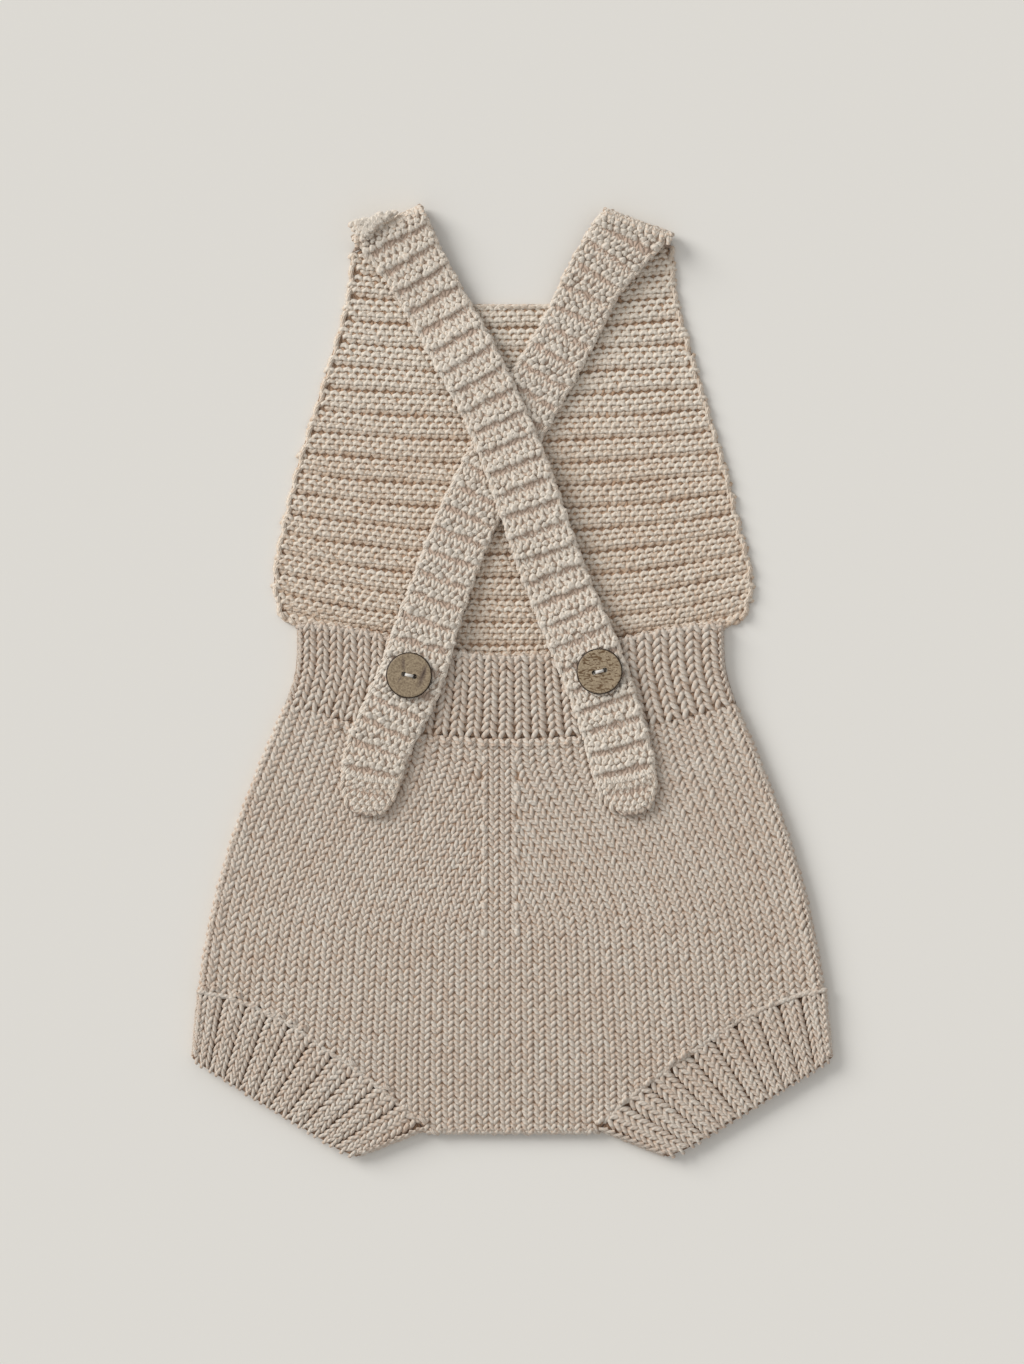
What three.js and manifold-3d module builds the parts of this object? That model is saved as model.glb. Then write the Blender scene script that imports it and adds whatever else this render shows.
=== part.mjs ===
// A hand-knitted baby romper, laid flat on its front so that its back shows.
// Millimetres. +Z is up from the surface it lies on, +Y runs from the legs to the shoulders.
import * as THREE from "three";
import { mergeVertices } from "three/addons/utils/BufferGeometryUtils.js";
import Module from "manifold-3d";

// Cloth walls and the gaps between neighbouring pieces
const seamGap = 0.3;
const clothWall = 2.4;
const strapWall = 2.6;
const foldPlane = 2.8; // height of the side folds, where front and back meet
const backTop = 5.6; // top of the back panels over the surface
const backUnder = 3.15; // underside of the back panels
const ribCrest = 5.9;
const ribValley = 4.7;
const bellyRise = 1.2; // how far the back of the shorts stands off the front

// Knitted bib: ridges across it, a square neck and two shoulder tabs
const bibRidges = 20;
const ridgePitch = 9.87;
const bibSeam = { y: 6.5, rise: 17, half: 92 }; // the waist seam at the middle, and its rise at the sides
const bibRiseRidges = 12; // ridges over which the rise sinks
const bibKeptRise = 3.5; // to this, which stays up to the neck
const bibFurrow = 1.7;
const bibCrest = 2.8;
const bibSeamCrest = 2.35;
const neckline = { y: 164.5, halfBottom: 28.3, halfTop: 37.8 };

// Waistband
const waistRibs = 28;
const waistRibCrowding = 0.114; // the ribs sit closer together on the left
const bandTop = { middle: 11.3, side: 25.2 };
const bandBottom = { middle: -24, side: -9.5 };

// Leg cuffs
const cuffRibs = 10;

// Buttons
const button = { radius: 10, thickness: 2.3, bevel: 0.6, holeRadius: 1.05, holeOffset: 2.35 };
const threadRadius = 0.62;
const buttonHeight = 9.2; // underside of a button

// Side edges of the waistband, shorts and cuffs, from the waist down
const bodyEdges = [
  { y: 26, left: -93.4, right: 92.0 },
  { y: 3.5, left: -94.4, right: 93.4 },
  { y: -11.7, left: -99.4, right: 98.4 },
  { y: -37.8, left: -110.6, right: 109.2 },
  { y: -63.9, left: -120.4, right: 119.3 },
  { y: -90, left: -128.2, right: 127.2 },
  { y: -116.1, left: -133.8, right: 132.9 },
  { y: -142.2, left: -137.2, right: 136.8 },
  { y: -163, left: -140, right: 140 },
];

// Side edges of the bib, from the waist up
const bibEdges = [
  { y: 24, left: -92.5, right: 91.5 },
  { y: 27.4, left: -99.6, right: 99.9 },
  { y: 33.9, left: -103.1, right: 103.8 },
  { y: 44, left: -104.2, right: 105 },
  { y: 66.6, left: -100.8, right: 100 },
  { y: 92.7, left: -94.4, right: 93.6 },
  { y: 118.8, left: -86.3, right: 86 },
  { y: 144.9, left: -78.4, right: 78.2 },
  { y: 166.6, left: -72.6, right: 72.4 },
  { y: 210, left: -70.8, right: 70.8 },
];

// Height of the seam between shorts and cuff, by the distance from the middle
const cuffSeam = [
  { out: 36.5, y: -195.8 },
  { out: 42, y: -189.5 },
  { out: 50, y: -182.4 },
  { out: 60, y: -174 },
  { out: 70, y: -166.7 },
  { out: 82, y: -158.6 },
  { out: 96, y: -148.9 },
  { out: 112, y: -141 },
  { out: 126, y: -136.2 },
  { out: 137.5, y: -134.2 },
];
const crotch = { halfWidth: 36.5, y: -196.6 };

// The open edge of each cuff, from the side fold to the crotch fold, by distance from the middle
const legEdge = [
  { share: 0, out: 139.9, y: -163 },
  { share: 0.08, out: 134.5, y: -167.3 },
  { share: 0.5, out: 106, y: -185.4 },
  { share: 0.9, out: 76.5, y: -203.1 },
  { share: 1, out: 66.5, y: -207 },
];

// A strap's middle line from the shoulder fold to its tip, with half its width and its underside's height
const leftStrapRows = [
  { x: -54.8, y: 200.6, half: 17.2, under: 6.2 },
  { x: -42.6, y: 180.7, half: 14.4, under: 4.8 },
  { x: -30.9, y: 160.5, half: 13.8, under: 3.8 },
  { x: -19.4, y: 139.6, half: 14.0, under: 5.9 },
  { x: -9.6, y: 120.9, half: 13.6, under: 6.2 },
  { x: 3.0, y: 90.5, half: 14.0, under: 6.2 },
  { x: 12.3, y: 63.5, half: 14.2, under: 6.2 },
  { x: 21.4, y: 38.5, half: 14.2, under: 5.1 },
  { x: 26.8, y: 25.8, half: 14.5, under: 6.2 },
  { x: 32.3, y: 13.2, half: 14.8, under: 6.3 },
  { x: 38.5, y: -3, half: 14.5, under: 6.3 },
  { x: 43.9, y: -20, half: 14.3, under: 6.3 },
  { x: 47.4, y: -33.2, half: 14.2, under: 6.2 },
  { x: 50.0, y: -44.5, half: 13.4, under: 6.15 },
  { x: 51.6, y: -52.5, half: 10.2, under: 6.1 },
  { x: 52.4, y: -57.6, half: 4.6, under: 6.1 },
];
const rightStrapRows = [
  { x: 55.2, y: 200.5, half: 16.6, under: 6.2 },
  { x: 37.0, y: 177.0, half: 13.4, under: 4.4 },
  { x: 26.2, y: 155.3, half: 12.9, under: 3.3 },
  { x: 14.1, y: 133.5, half: 13.3, under: 3.2 },
  { x: -3.0, y: 103.5, half: 13.6, under: 3.2 },
  { x: -18.6, y: 72.7, half: 13.3, under: 3.2 },
  { x: -26.4, y: 53.9, half: 13.2, under: 3.5 },
  { x: -32.6, y: 36.5, half: 13.4, under: 5.0 },
  { x: -36.5, y: 25.7, half: 13.8, under: 6.2 },
  { x: -40.9, y: 10.9, half: 14.4, under: 6.3 },
  { x: -44.8, y: 0, half: 14.6, under: 6.3 },
  { x: -52.9, y: -17, half: 14.2, under: 6.3 },
  { x: -58.4, y: -29.2, half: 14.0, under: 6.2 },
  { x: -61.6, y: -43.2, half: 13.2, under: 6.15 },
  { x: -63.6, y: -52.2, half: 10.4, under: 6.1 },
  { x: -64.6, y: -57.6, half: 4.8, under: 6.1 },
];
const shoulderFold = { radius: 3.1, steps: 6, lowerLength: 7.2 };
const foldBlendLength = 24; // the rows turn from the fold's slope to square across over this length
const strapFurrow = 0.9; // depth of the furrow between two ridges

const buttons = [
  { side: "left", x: -44.6, y: 2.9, turn: -12.5 },
  { side: "right", x: 37.9, y: 4.6, turn: 13.8 },
];

const wasm = await Module();
wasm.setup();

const mix = (a, b, t) => a + (b - a) * t;
const clamp01 = (t) => Math.min(1, Math.max(0, t));
const smooth = (t) => t * t * (3 - 2 * t);

// Reads one column of a table at a place, on a smooth curve through its rows.
function read(table, key, column, place) {
  const rows = table[0][key] > table[table.length - 1][key] ? [...table].reverse() : table;
  const last = rows.length - 1;
  const at = Math.min(rows[last][key], Math.max(rows[0][key], place));
  let i = 0;
  while (i < last - 1 && rows[i + 1][key] < at) i += 1;
  const slope = (j) => {
    const [a, b] = [rows[Math.max(0, j - 1)], rows[Math.min(last, j + 1)]];
    return (b[column] - a[column]) / (b[key] - a[key]);
  };
  const span = rows[i + 1][key] - rows[i][key];
  const t = (at - rows[i][key]) / span;
  const [t2, t3] = [t * t, t * t * t];
  return (
    (2 * t3 - 3 * t2 + 1) * rows[i][column] +
    (t3 - 2 * t2 + t) * span * slope(i) +
    (3 * t2 - 2 * t3) * rows[i + 1][column] +
    (t3 - t2) * span * slope(i + 1)
  );
}

// A closed wall between two grids of points of the same size. A ringed wall also closes round on itself.
function wallBetween(outer, inner, ringed = false) {
  const [rows, columns] = [outer.length, outer[0].length];
  const positions = [...outer, ...inner].flat(2);
  const innerStart = rows * columns;
  const index = [];
  const quad = (a, b, c, d) => index.push(a, b, c, a, c, d);
  const wrap = (i) => i % columns;
  const across = ringed ? columns : columns - 1;
  for (let j = 0; j < rows - 1; j += 1)
    for (let i = 0; i < across; i += 1) {
      const [a, b] = [j * columns + i, j * columns + wrap(i + 1)];
      quad(a, b, b + columns, a + columns);
      quad(innerStart + a, innerStart + a + columns, innerStart + b + columns, innerStart + b);
    }
  for (let i = 0; i < across; i += 1) {
    const [a, b] = [i, wrap(i + 1)];
    const [c, d] = [a + (rows - 1) * columns, b + (rows - 1) * columns];
    quad(a, innerStart + a, innerStart + b, b);
    quad(c, d, innerStart + d, innerStart + c);
  }
  if (!ringed)
    for (let j = 0; j < rows - 1; j += 1) {
      const [a, b] = [j * columns, j * columns + columns - 1];
      quad(a, a + columns, innerStart + a + columns, innerStart + a);
      quad(b, innerStart + b, innerStart + b + columns, b + columns);
    }
  const geometry = new THREE.BufferGeometry();
  geometry.setAttribute("position", new THREE.Float32BufferAttribute(positions, 3));
  geometry.setIndex(signedVolume(positions, index) < 0 ? index.reverse() : index);
  return withoutSlivers(mergeVertices(geometry, 1e-4));
}

// Leaves out triangles whose corners have come together.
function withoutSlivers(geometry) {
  const from = geometry.index.array;
  const kept = [];
  for (let k = 0; k < from.length; k += 3) {
    const [a, b, c] = [from[k], from[k + 1], from[k + 2]];
    if (a !== b && b !== c && c !== a) kept.push(a, b, c);
  }
  geometry.setIndex(kept);
  return geometry;
}

function signedVolume(positions, index) {
  const corner = (k) => new THREE.Vector3().fromArray(positions, index[k] * 3);
  let total = 0;
  for (let k = 0; k < index.length; k += 3)
    total += corner(k).dot(corner(k + 1).cross(corner(k + 2)));
  return total;
}

// Geometry to a manifold-3d solid and back.
function toSolid(geometry) {
  const plain = geometry.clone();
  plain.deleteAttribute("normal");
  plain.deleteAttribute("uv");
  const merged = mergeVertices(plain, 1e-4);
  return new wasm.Manifold(
    new wasm.Mesh({
      numProp: 3,
      vertProperties: new Float32Array(merged.attributes.position.array),
      triVerts: new Uint32Array(merged.index.array),
    }),
  );
}
function toGeometry(solid) {
  const mesh = solid.getMesh();
  const geometry = new THREE.BufferGeometry();
  geometry.setAttribute("position", new THREE.BufferAttribute(mesh.vertProperties, 3));
  geometry.setIndex(new THREE.BufferAttribute(mesh.triVerts, 1));
  return geometry;
}

// Places across a panel: rounded side folds of a few steps each, with even steps between them.
// turn is 0 at the fold and 90 degrees where the cloth lies level.
const foldSteps = 3;
function placesAcross(shares) {
  const turns = Array.from({ length: foldSteps }, (_, i) => (i * Math.PI) / 2 / foldSteps);
  return [
    ...turns.map((turn) => ({ share: 0, turn, side: -1 })),
    ...shares.map((share) => ({ share, turn: Math.PI / 2, side: 0 })),
    ...[...turns].reverse().map((turn) => ({ share: 1, turn, side: 1 })),
  ];
}
const evenShares = (count) => Array.from({ length: count + 1 }, (_, i) => i / count);

// A panel of the body as a shell. It is level over most of its width, and its sides turn to the fold plane.
// top and under give the heights of its outer and inner faces.
function bodyPanel({ shares, rows, yAt, outerAt, innerAt, bottomFold = () => false, meet }) {
  const grids = [[], []];
  const reach = [Math.abs(outerAt(0, 0, 0) - meet), Math.abs(innerAt(0, 0, 0) - meet)];
  rows.forEach((down) => {
    const lines = [[], []];
    placesAcross(shares).forEach(({ share, turn, side }, column) => {
      const folded = bottomFold(share) && down.share === 1;
      const bottomTurn = folded ? down.turn : Math.PI / 2;
      [outerAt, innerAt].forEach((heightAt, face) => {
        const radius = reach[face];
        const y = yAt(share, down.share) + (folded ? reach[0] - radius * Math.cos(bottomTurn) : 0);
        const [left, right] = [read(bodyEdges, "y", "left", y), read(bodyEdges, "y", "right", y)];
        const margin = reach[0];
        const level = mix(left + margin, right - margin, share);
        const x = level + side * radius * Math.cos(turn);
        const lift = Math.sin(Math.min(turn, bottomTurn));
        const turning = turn < Math.PI / 2 || bottomTurn < Math.PI / 2;
        const height = turning ? heightAt(0, 0, 0) : heightAt(x, y, column);
        lines[face].push([x, y, mix(meet, height, lift)]);
      });
    });
    lines.forEach((line, face) => grids[face].push(line));
  });
  return wallBetween(grids[0], grids[1]);
}

// Where the shorts end below a place across them: at a cuff's seam, or at the crotch.
function shortsBottom(x) {
  const out = Math.abs(x);
  return out < crotch.halfWidth ? crotch.y : read(cuffSeam, "out", "y", out);
}

// The bottom of one wale of the shorts, found by walking down to the seam.
function waleBottom(share) {
  let y = crotch.y;
  for (let step = 0; step < 12; step += 1) {
    const [left, right] = [read(bodyEdges, "y", "left", y), read(bodyEdges, "y", "right", y)];
    y = mix(y, shortsBottom(mix(left + foldPlane, right - foldPlane, share)), 0.7);
  }
  return y;
}
const bandTopY = (share) => mix(bandTop.middle, bandTop.side, smooth(Math.abs(2 * share - 1)));
const bandBottomY = (share) => mix(bandBottom.middle, bandBottom.side, (2 * share - 1) ** 2);
const bibSeamAt = (x) => bibSeam.y + bibSeam.rise * (x / bibSeam.half) ** 2;

// The belly of the shorts, a low swell below the strap ends.
function belly(x, y) {
  const down = clamp01((-66 - y) / 55) * clamp01((y + 192) / 40);
  const across = clamp01((128 - Math.abs(x)) / 60);
  return bellyRise * smooth(down) * smooth(across);
}

// Shares across the shorts, with a column on each side of the crotch's corners.
const crotchShares = [0.3645, 0.3685, 0.6315, 0.6355];
const shortsShares = [...evenShares(20), ...crotchShares].sort((a, b) => a - b);
const inCrotch = (share) => share > 0.3665 && share < 0.6335;

function shorts({ outerAt, innerAt, meet, rowCount }) {
  const rows = evenShares(rowCount).map((share) => ({ share, turn: Math.PI / 2 }));
  [2, 1, 0].forEach((step) => rows.push({ share: 1, turn: (step * Math.PI) / 6 }));
  rows.splice(rowCount, 1);
  return bodyPanel({
    shares: shortsShares,
    rows,
    meet,
    outerAt,
    innerAt,
    bottomFold: inCrotch,
    yAt: (share, down) => {
      const top = bandBottomY(share) - seamGap;
      const bottom = waleBottom(share) + (inCrotch(share) ? 0 : seamGap / 2);
      return mix(top, bottom, down);
    },
  });
}

function backShorts() {
  return shorts({
    meet: foldPlane + seamGap / 2,
    rowCount: 12,
    outerAt: (x, y) => backTop + belly(x, y),
    innerAt: (x, y) => backUnder + belly(x, y),
  });
}

function frontShorts() {
  return shorts({
    meet: foldPlane - seamGap / 2,
    rowCount: 6,
    outerAt: () => 0,
    innerAt: () => clothWall,
  });
}

// The share of the waistband's width that lies to the left of a rib.
function ribShare(phase) {
  const [k, p] = [waistRibCrowding, phase / waistRibs];
  return ((1 + k) - Math.sqrt((1 + k) ** 2 - 4 * k * p)) / (2 * k);
}
function backWaistband() {
  const marks = [];
  for (let rib = 0; rib < waistRibs; rib += 1)
    [0, 0.3, 0.7].forEach((within) => {
      marks.push({ phase: rib + within, z: within === 0 ? ribValley : ribCrest });
    });
  marks.push({ phase: waistRibs, z: ribValley });
  const shares = marks.map((mark) => clamp01(ribShare(mark.phase)));
  return bodyPanel({
    shares,
    rows: [0, 0.06, 0.5, 0.94, 1].map((share) => ({ share })),
    meet: foldPlane + seamGap / 2,
    yAt: (share, down) => mix(bandTopY(share), bandBottomY(share), down),
    outerAt: (x, y, column) => (column ? marks[column - foldSteps].z : ribValley + 0.4),
    innerAt: () => backUnder,
  });
}
function frontWaistband() {
  return bodyPanel({
    shares: evenShares(14),
    rows: [0, 0.5, 1].map((share) => ({ share })),
    meet: foldPlane - seamGap / 2,
    yAt: (share, down) => mix(bibSeamAt(mix(-90.8, 89.6, share)) - seamGap, bandBottomY(share), down),
    outerAt: () => 0,
    innerAt: () => clothWall,
  });
}

// A leg cuff: a flattened ribbed tube between the shorts' seam and the open leg edge.
function legCuff(side) {
  const seamPoint = (share) => {
    const out = mix(137.2, crotch.halfWidth + 0.6, share);
    return [side * out, read(cuffSeam, "out", "y", out) - seamGap];
  };
  const edgePoint = (share) => {
    const out = read(legEdge, "share", "out", share);
    return [side * out, read(legEdge, "share", "y", share)];
  };
  const endTurns = [0, 1, 2, 3, 4, 5, 6].map((step) => (step * Math.PI) / 6);
  const ringAt = (down, face) => {
    const [seam, edge] = [seamPoint, edgePoint];
    const at = (share) => [0, 1].map((axis) => mix(seam(share)[axis], edge(share)[axis], down));
    const length = Math.hypot(at(1)[0] - at(0)[0], at(1)[1] - at(0)[1]);
    const along = (distance, z) => [...at(distance / length), z];
    const outerRadius = foldPlane;
    const radius = face === 0 ? outerRadius : outerRadius - clothWall;
    const level = length - 2 * outerRadius;
    const ring = [];
    for (let rib = 0; rib < cuffRibs; rib += 1)
      [0, 0.22, 0.78].forEach((within) => {
        const z = within === 0 ? ribValley : ribCrest;
        ring.push(along(outerRadius + (level * (rib + within)) / cuffRibs, face === 0 ? z : backUnder));
      });
    const turned = (turn) => [Math.sin(turn) * radius, Math.cos(turn) * radius];
    endTurns.forEach((turn) => {
      const [out, up] = turned(turn);
      ring.push(along(outerRadius + level + out, Math.max(foldPlane + up, face === 0 ? 0 : clothWall)));
    });
    [0.75, 0.5, 0.25].forEach((share) => {
      ring.push(along(outerRadius + level * share, face === 0 ? 0 : clothWall));
    });
    [...endTurns].reverse().slice(0, -1).forEach((turn) => {
      const [out, up] = turned(turn);
      ring.push(along(outerRadius - out, Math.max(foldPlane + up, face === 0 ? 0 : clothWall)));
    });
    return ring;
  };
  const downs = [0, 0.5, 1];
  return wallBetween(
    downs.map((down) => ringAt(down, 0)),
    downs.map((down) => ringAt(down, 1)),
    true,
  );
}

// Height of the bib's knitting at a ridge count from the waist seam, and how far along y that count lies.
const bibRise = (ridge) => mix(bibKeptRise, bibSeam.rise, clamp01(1 - ridge / bibRiseRidges) ** 1.5);
function bibY(ridge, share) {
  const x = mix(-92.5, 91.5, share);
  return bibSeam.y + ridge * ridgePitch + bibRise(ridge) * (x / bibSeam.half) ** 2;
}

function bib() {
  const [outer, inner] = [[], []];
  const shares = evenShares(14);
  for (let step = 0; step <= bibRidges * 3; step += 1) {
    const ridge = Math.floor(step / 3) + [0, 0.24, 0.76][step % 3];
    const crest = ridge < 1.5 ? bibSeamCrest : bibCrest;
    const z = step % 3 === 0 ? bibFurrow : crest;
    const line = (height) =>
      shares.map((share) => {
        const y = bibY(ridge, share);
        return [mix(read(bibEdges, "y", "left", y), read(bibEdges, "y", "right", y), share), y, height];
      });
    outer.push(line(z));
    inner.push(line(0));
  }
  const above = neckline.y + 60;
  const [leftTop, rightTop] = [shoulderCut(leftStrapRows, -1), shoulderCut(rightStrapRows, 1)];
  const cut = new THREE.Shape([
    new THREE.Vector2(-90, above),
    new THREE.Vector2(-90, leftTop(-90)),
    new THREE.Vector2(-neckline.halfTop, leftTop(-neckline.halfTop)),
    new THREE.Vector2(-neckline.halfBottom - 1.6, neckline.y + 4),
    new THREE.Vector2(-neckline.halfBottom + 3, neckline.y),
    new THREE.Vector2(neckline.halfBottom - 3, neckline.y),
    new THREE.Vector2(neckline.halfBottom + 1.6, neckline.y + 4),
    new THREE.Vector2(neckline.halfTop, rightTop(neckline.halfTop)),
    new THREE.Vector2(90, rightTop(90)),
    new THREE.Vector2(90, above),
  ]);
  const cutter = new THREE.ExtrudeGeometry(cut, { depth: 20, bevelEnabled: false }).translate(0, 0, -8);
  return toGeometry(toSolid(wallBetween(outer, inner)).subtract(toSolid(cutter)));
}

// The slope of a shoulder fold: the line across the strap where it turns back on itself.
const foldSlope = { left: 24.6, right: -19.9 };
const foldAngle = (side) => THREE.MathUtils.degToRad(side < 0 ? foldSlope.left : foldSlope.right);

// The top edge of a shoulder tab, a seam gap below the strap's lower end.
function shoulderCut(rows, side) {
  const slope = Math.tan(foldAngle(side));
  const drop = shoulderFold.lowerLength + seamGap / Math.cos(foldAngle(side));
  return (x) => rows[0].y - drop + slope * (x - rows[0].x);
}

// A strap: it leaves the shoulder tab, folds over and runs down across the back to its rounded tip.
function strap(rows, side) {
  const spine = new THREE.CatmullRomCurve3(
    rows.map((row) => new THREE.Vector3(row.x, row.y, 0)),
    false,
    "centripetal",
  );
  const marks = rows.map((row, i) => ({ ...row, share: i / (rows.length - 1) }));
  const length = spine.getLength();
  const foldAcross = new THREE.Vector3(Math.cos(foldAngle(side)), Math.sin(foldAngle(side)), 0);
  const foldOut = new THREE.Vector3(-foldAcross.y, foldAcross.x, 0);
  const up = new THREE.Vector3(0, 0, 1);
  const sections = [];
  const foldCentre = new THREE.Vector3(rows[0].x, rows[0].y, 0);
  const bendCentre = foldCentre.clone().addScaledVector(foldOut, -shoulderFold.radius - strapWall / 2);
  const half = rows[0].half;

  const toTab = new THREE.Vector3(0, -shoulderFold.lowerLength, strapWall / 2);
  const lowerStart = foldCentre.clone().add(toTab);
  sections.push({ centre: lowerStart, across: foldAcross, normal: up.clone().negate(), half, furrow: 0 });
  for (let step = 0; step <= shoulderFold.steps; step += 1) {
    const turn = (step * Math.PI) / shoulderFold.steps;
    const normal = foldOut.clone().multiplyScalar(Math.sin(turn)).addScaledVector(up, -Math.cos(turn));
    const centre = bendCentre.clone().addScaledVector(normal, shoulderFold.radius);
    centre.z += shoulderFold.radius + strapWall / 2;
    sections.push({ centre, across: foldAcross, normal, half, furrow: 0 });
  }
  const ridges = Math.round(length / ridgePitch);
  for (let step = 2; step <= ridges * 3; step += 1) {
    const share = (Math.floor(step / 3) + [0, 0.3, 0.72][step % 3]) / ridges;
    const flat = spine.getPointAt(share);
    const tangent = spine.getTangentAt(share);
    const square = new THREE.Vector3(-tangent.y, tangent.x, 0);
    const blend = smooth(clamp01((share * length) / foldBlendLength));
    const across = foldAcross.clone().lerp(square, blend).normalize();
    const rowShare = spine.getUtoTmapping(share);
    const under = read(marks, "share", "under", rowShare);
    const centre = new THREE.Vector3(flat.x, flat.y, under + strapWall / 2);
    const isFurrow = step % 3 === 0 && step < ridges * 3;
    sections.push({
      centre,
      across,
      normal: up,
      half: read(marks, "share", "half", rowShare),
      furrow: isFurrow ? strapFurrow : 0,
    });
  }
  const places = [-1, -0.8, 0, 0.8, 1];
  const face = (section, lift, narrowing) =>
    places.map((place) => {
      const edge = Math.abs(place) === 1;
      const out = section.half - (edge ? narrowing : 0);
      const point = section.centre.clone().addScaledVector(section.across, place * out);
      const height = edge ? lift * 0.45 : lift;
      return point.addScaledVector(section.normal, height).toArray();
    });
  return wallBetween(
    sections.map((section) => face(section, strapWall / 2 - section.furrow, section.furrow * 0.8)),
    sections.map((section) => face(section, -strapWall / 2, 0)),
  );
}

// A flat round button with two holes.
function buttonDisc() {
  const { radius, thickness, bevel } = button;
  const outline = [
    [0, 0],
    [radius - bevel, 0],
    [radius, bevel],
    [radius, thickness - bevel],
    [radius - bevel, thickness],
    [0, thickness],
  ].map(([r, z]) => new THREE.Vector2(r, z));
  const disc = new THREE.LatheGeometry(outline, 32).rotateX(Math.PI / 2);
  let solid = toSolid(disc);
  [-1, 1].forEach((side) => {
    const hole = new THREE.CylinderGeometry(button.holeRadius, button.holeRadius, thickness * 3, 12);
    hole.rotateX(Math.PI / 2).translate(side * button.holeOffset, 0, thickness / 2);
    solid = solid.subtract(toSolid(hole));
  });
  return toGeometry(solid);
}

// The thread of a button: down through both holes, and over the bridge between them.
function buttonThread() {
  const { thickness, holeOffset } = button;
  const over = thickness + threadRadius + seamGap;
  const path = new THREE.CatmullRomCurve3(
    [
      [-holeOffset, 0.1],
      [-holeOffset, thickness * 0.75],
      [-holeOffset * 0.8, over - 0.15],
      [0, over + 0.15],
      [holeOffset * 0.8, over - 0.15],
      [holeOffset, thickness * 0.75],
      [holeOffset, 0.1],
    ].map(([x, z]) => new THREE.Vector3(x, 0, z)),
  );
  const section = new THREE.Shape().absarc(0, 0, threadRadius, 0, Math.PI * 2);
  return new THREE.ExtrudeGeometry(section, { steps: 12, curveSegments: 4, extrudePath: path });
}

const cotton = new THREE.MeshStandardMaterial({ color: 0xcdc0b0, roughness: 0.95, metalness: 0 });
const wood = new THREE.MeshStandardMaterial({ color: 0x8f7f68, roughness: 0.6, metalness: 0 });
const threadCotton = new THREE.MeshStandardMaterial({ color: 0xe6e0d6, roughness: 0.9, metalness: 0 });

function piece(name, geometry, material) {
  const mesh = new THREE.Mesh(geometry, material);
  mesh.name = name;
  return mesh;
}

const romper = new THREE.Group();
romper.add(
  piece("front_shorts", frontShorts(), cotton),
  piece("back_shorts", backShorts(), cotton),
  piece("front_waistband", frontWaistband(), cotton),
  piece("back_waistband", backWaistband(), cotton),
  piece("left_leg_cuff", legCuff(-1), cotton),
  piece("right_leg_cuff", legCuff(1), cotton),
  piece("front_bib", bib(), cotton),
  piece("left_strap", strap(leftStrapRows, -1), cotton),
  piece("right_strap", strap(rightStrapRows, 1), cotton),
);
buttons.forEach(({ side, x, y, turn }) => {
  const set = new THREE.Group();
  set.position.set(x, y, buttonHeight);
  set.rotation.z = THREE.MathUtils.degToRad(turn);
  set.add(piece(`${side}_button`, buttonDisc(), wood));
  set.add(piece(`${side}_button_thread`, buttonThread(), threadCotton));
  romper.add(set);
});

export default romper;
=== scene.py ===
# A hand-knitted baby romper, laid on its front so that its back shows.
# Thin cloth shells carry the garment's form, and loops of yarn lie on them stitch by stitch.
import math
import random
import bpy
import bmesh
import numpy as np
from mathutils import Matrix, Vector
from mathutils.bvhtree import BVHTree


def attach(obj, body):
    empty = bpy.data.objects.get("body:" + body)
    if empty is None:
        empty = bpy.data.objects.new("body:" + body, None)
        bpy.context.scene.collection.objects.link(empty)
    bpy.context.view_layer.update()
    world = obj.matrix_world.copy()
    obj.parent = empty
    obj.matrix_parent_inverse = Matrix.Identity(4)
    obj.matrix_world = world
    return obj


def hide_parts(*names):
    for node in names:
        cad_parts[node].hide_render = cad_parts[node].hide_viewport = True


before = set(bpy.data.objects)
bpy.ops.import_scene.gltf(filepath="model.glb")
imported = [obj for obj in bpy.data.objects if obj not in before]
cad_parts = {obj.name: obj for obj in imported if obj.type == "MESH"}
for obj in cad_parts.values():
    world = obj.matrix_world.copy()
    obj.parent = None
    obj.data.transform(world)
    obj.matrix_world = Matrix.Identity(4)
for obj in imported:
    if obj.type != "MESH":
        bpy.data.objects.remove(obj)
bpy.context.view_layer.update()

dice = random.Random(41)
toMetres = 0.001  # sizes below are in millimetres
up = Vector((0, 0, 1))


def mix(a, b, t):
    return a + (b - a) * t


def clamp01(t):
    return min(1.0, max(0.0, t))


def smooth(t):
    return t * t * (3 - 2 * t)


def toward(x, y, z):
    return Vector((x, y, z)).normalized()


def cadSurface(name):
    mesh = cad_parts[name].data
    corners = [v.co / toMetres for v in mesh.vertices]
    return BVHTree.FromPolygons(corners, [tuple(p.vertices) for p in mesh.polygons])


# Weights of a curve's two ends and of the slopes there, for a place t on its way.
def curveWeights(t):
    return 2 * t**3 - 3 * t**2 + 1, t**3 - 2 * t**2 + t, 3 * t**2 - 2 * t**3, t**3 - t**2


# A smooth line through a table's rows.
def curveThrough(rows, column):
    at = np.array([row[0] for row in rows], float)
    values = np.array([row[column] for row in rows], float)
    slopes = np.gradient(values, at)
    fine = np.linspace(at[0], at[-1], 600)
    i = np.clip(np.searchsorted(at, fine, "right") - 1, 0, len(at) - 2)
    run = at[i + 1] - at[i]
    start, startSlope, end, endSlope = curveWeights((fine - at[i]) / run)
    drawn = start * values[i] + startSlope * run * slopes[i]
    drawn += end * values[i + 1] + endSlope * run * slopes[i + 1]
    return lambda x: float(np.interp(x, fine, drawn))


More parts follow.
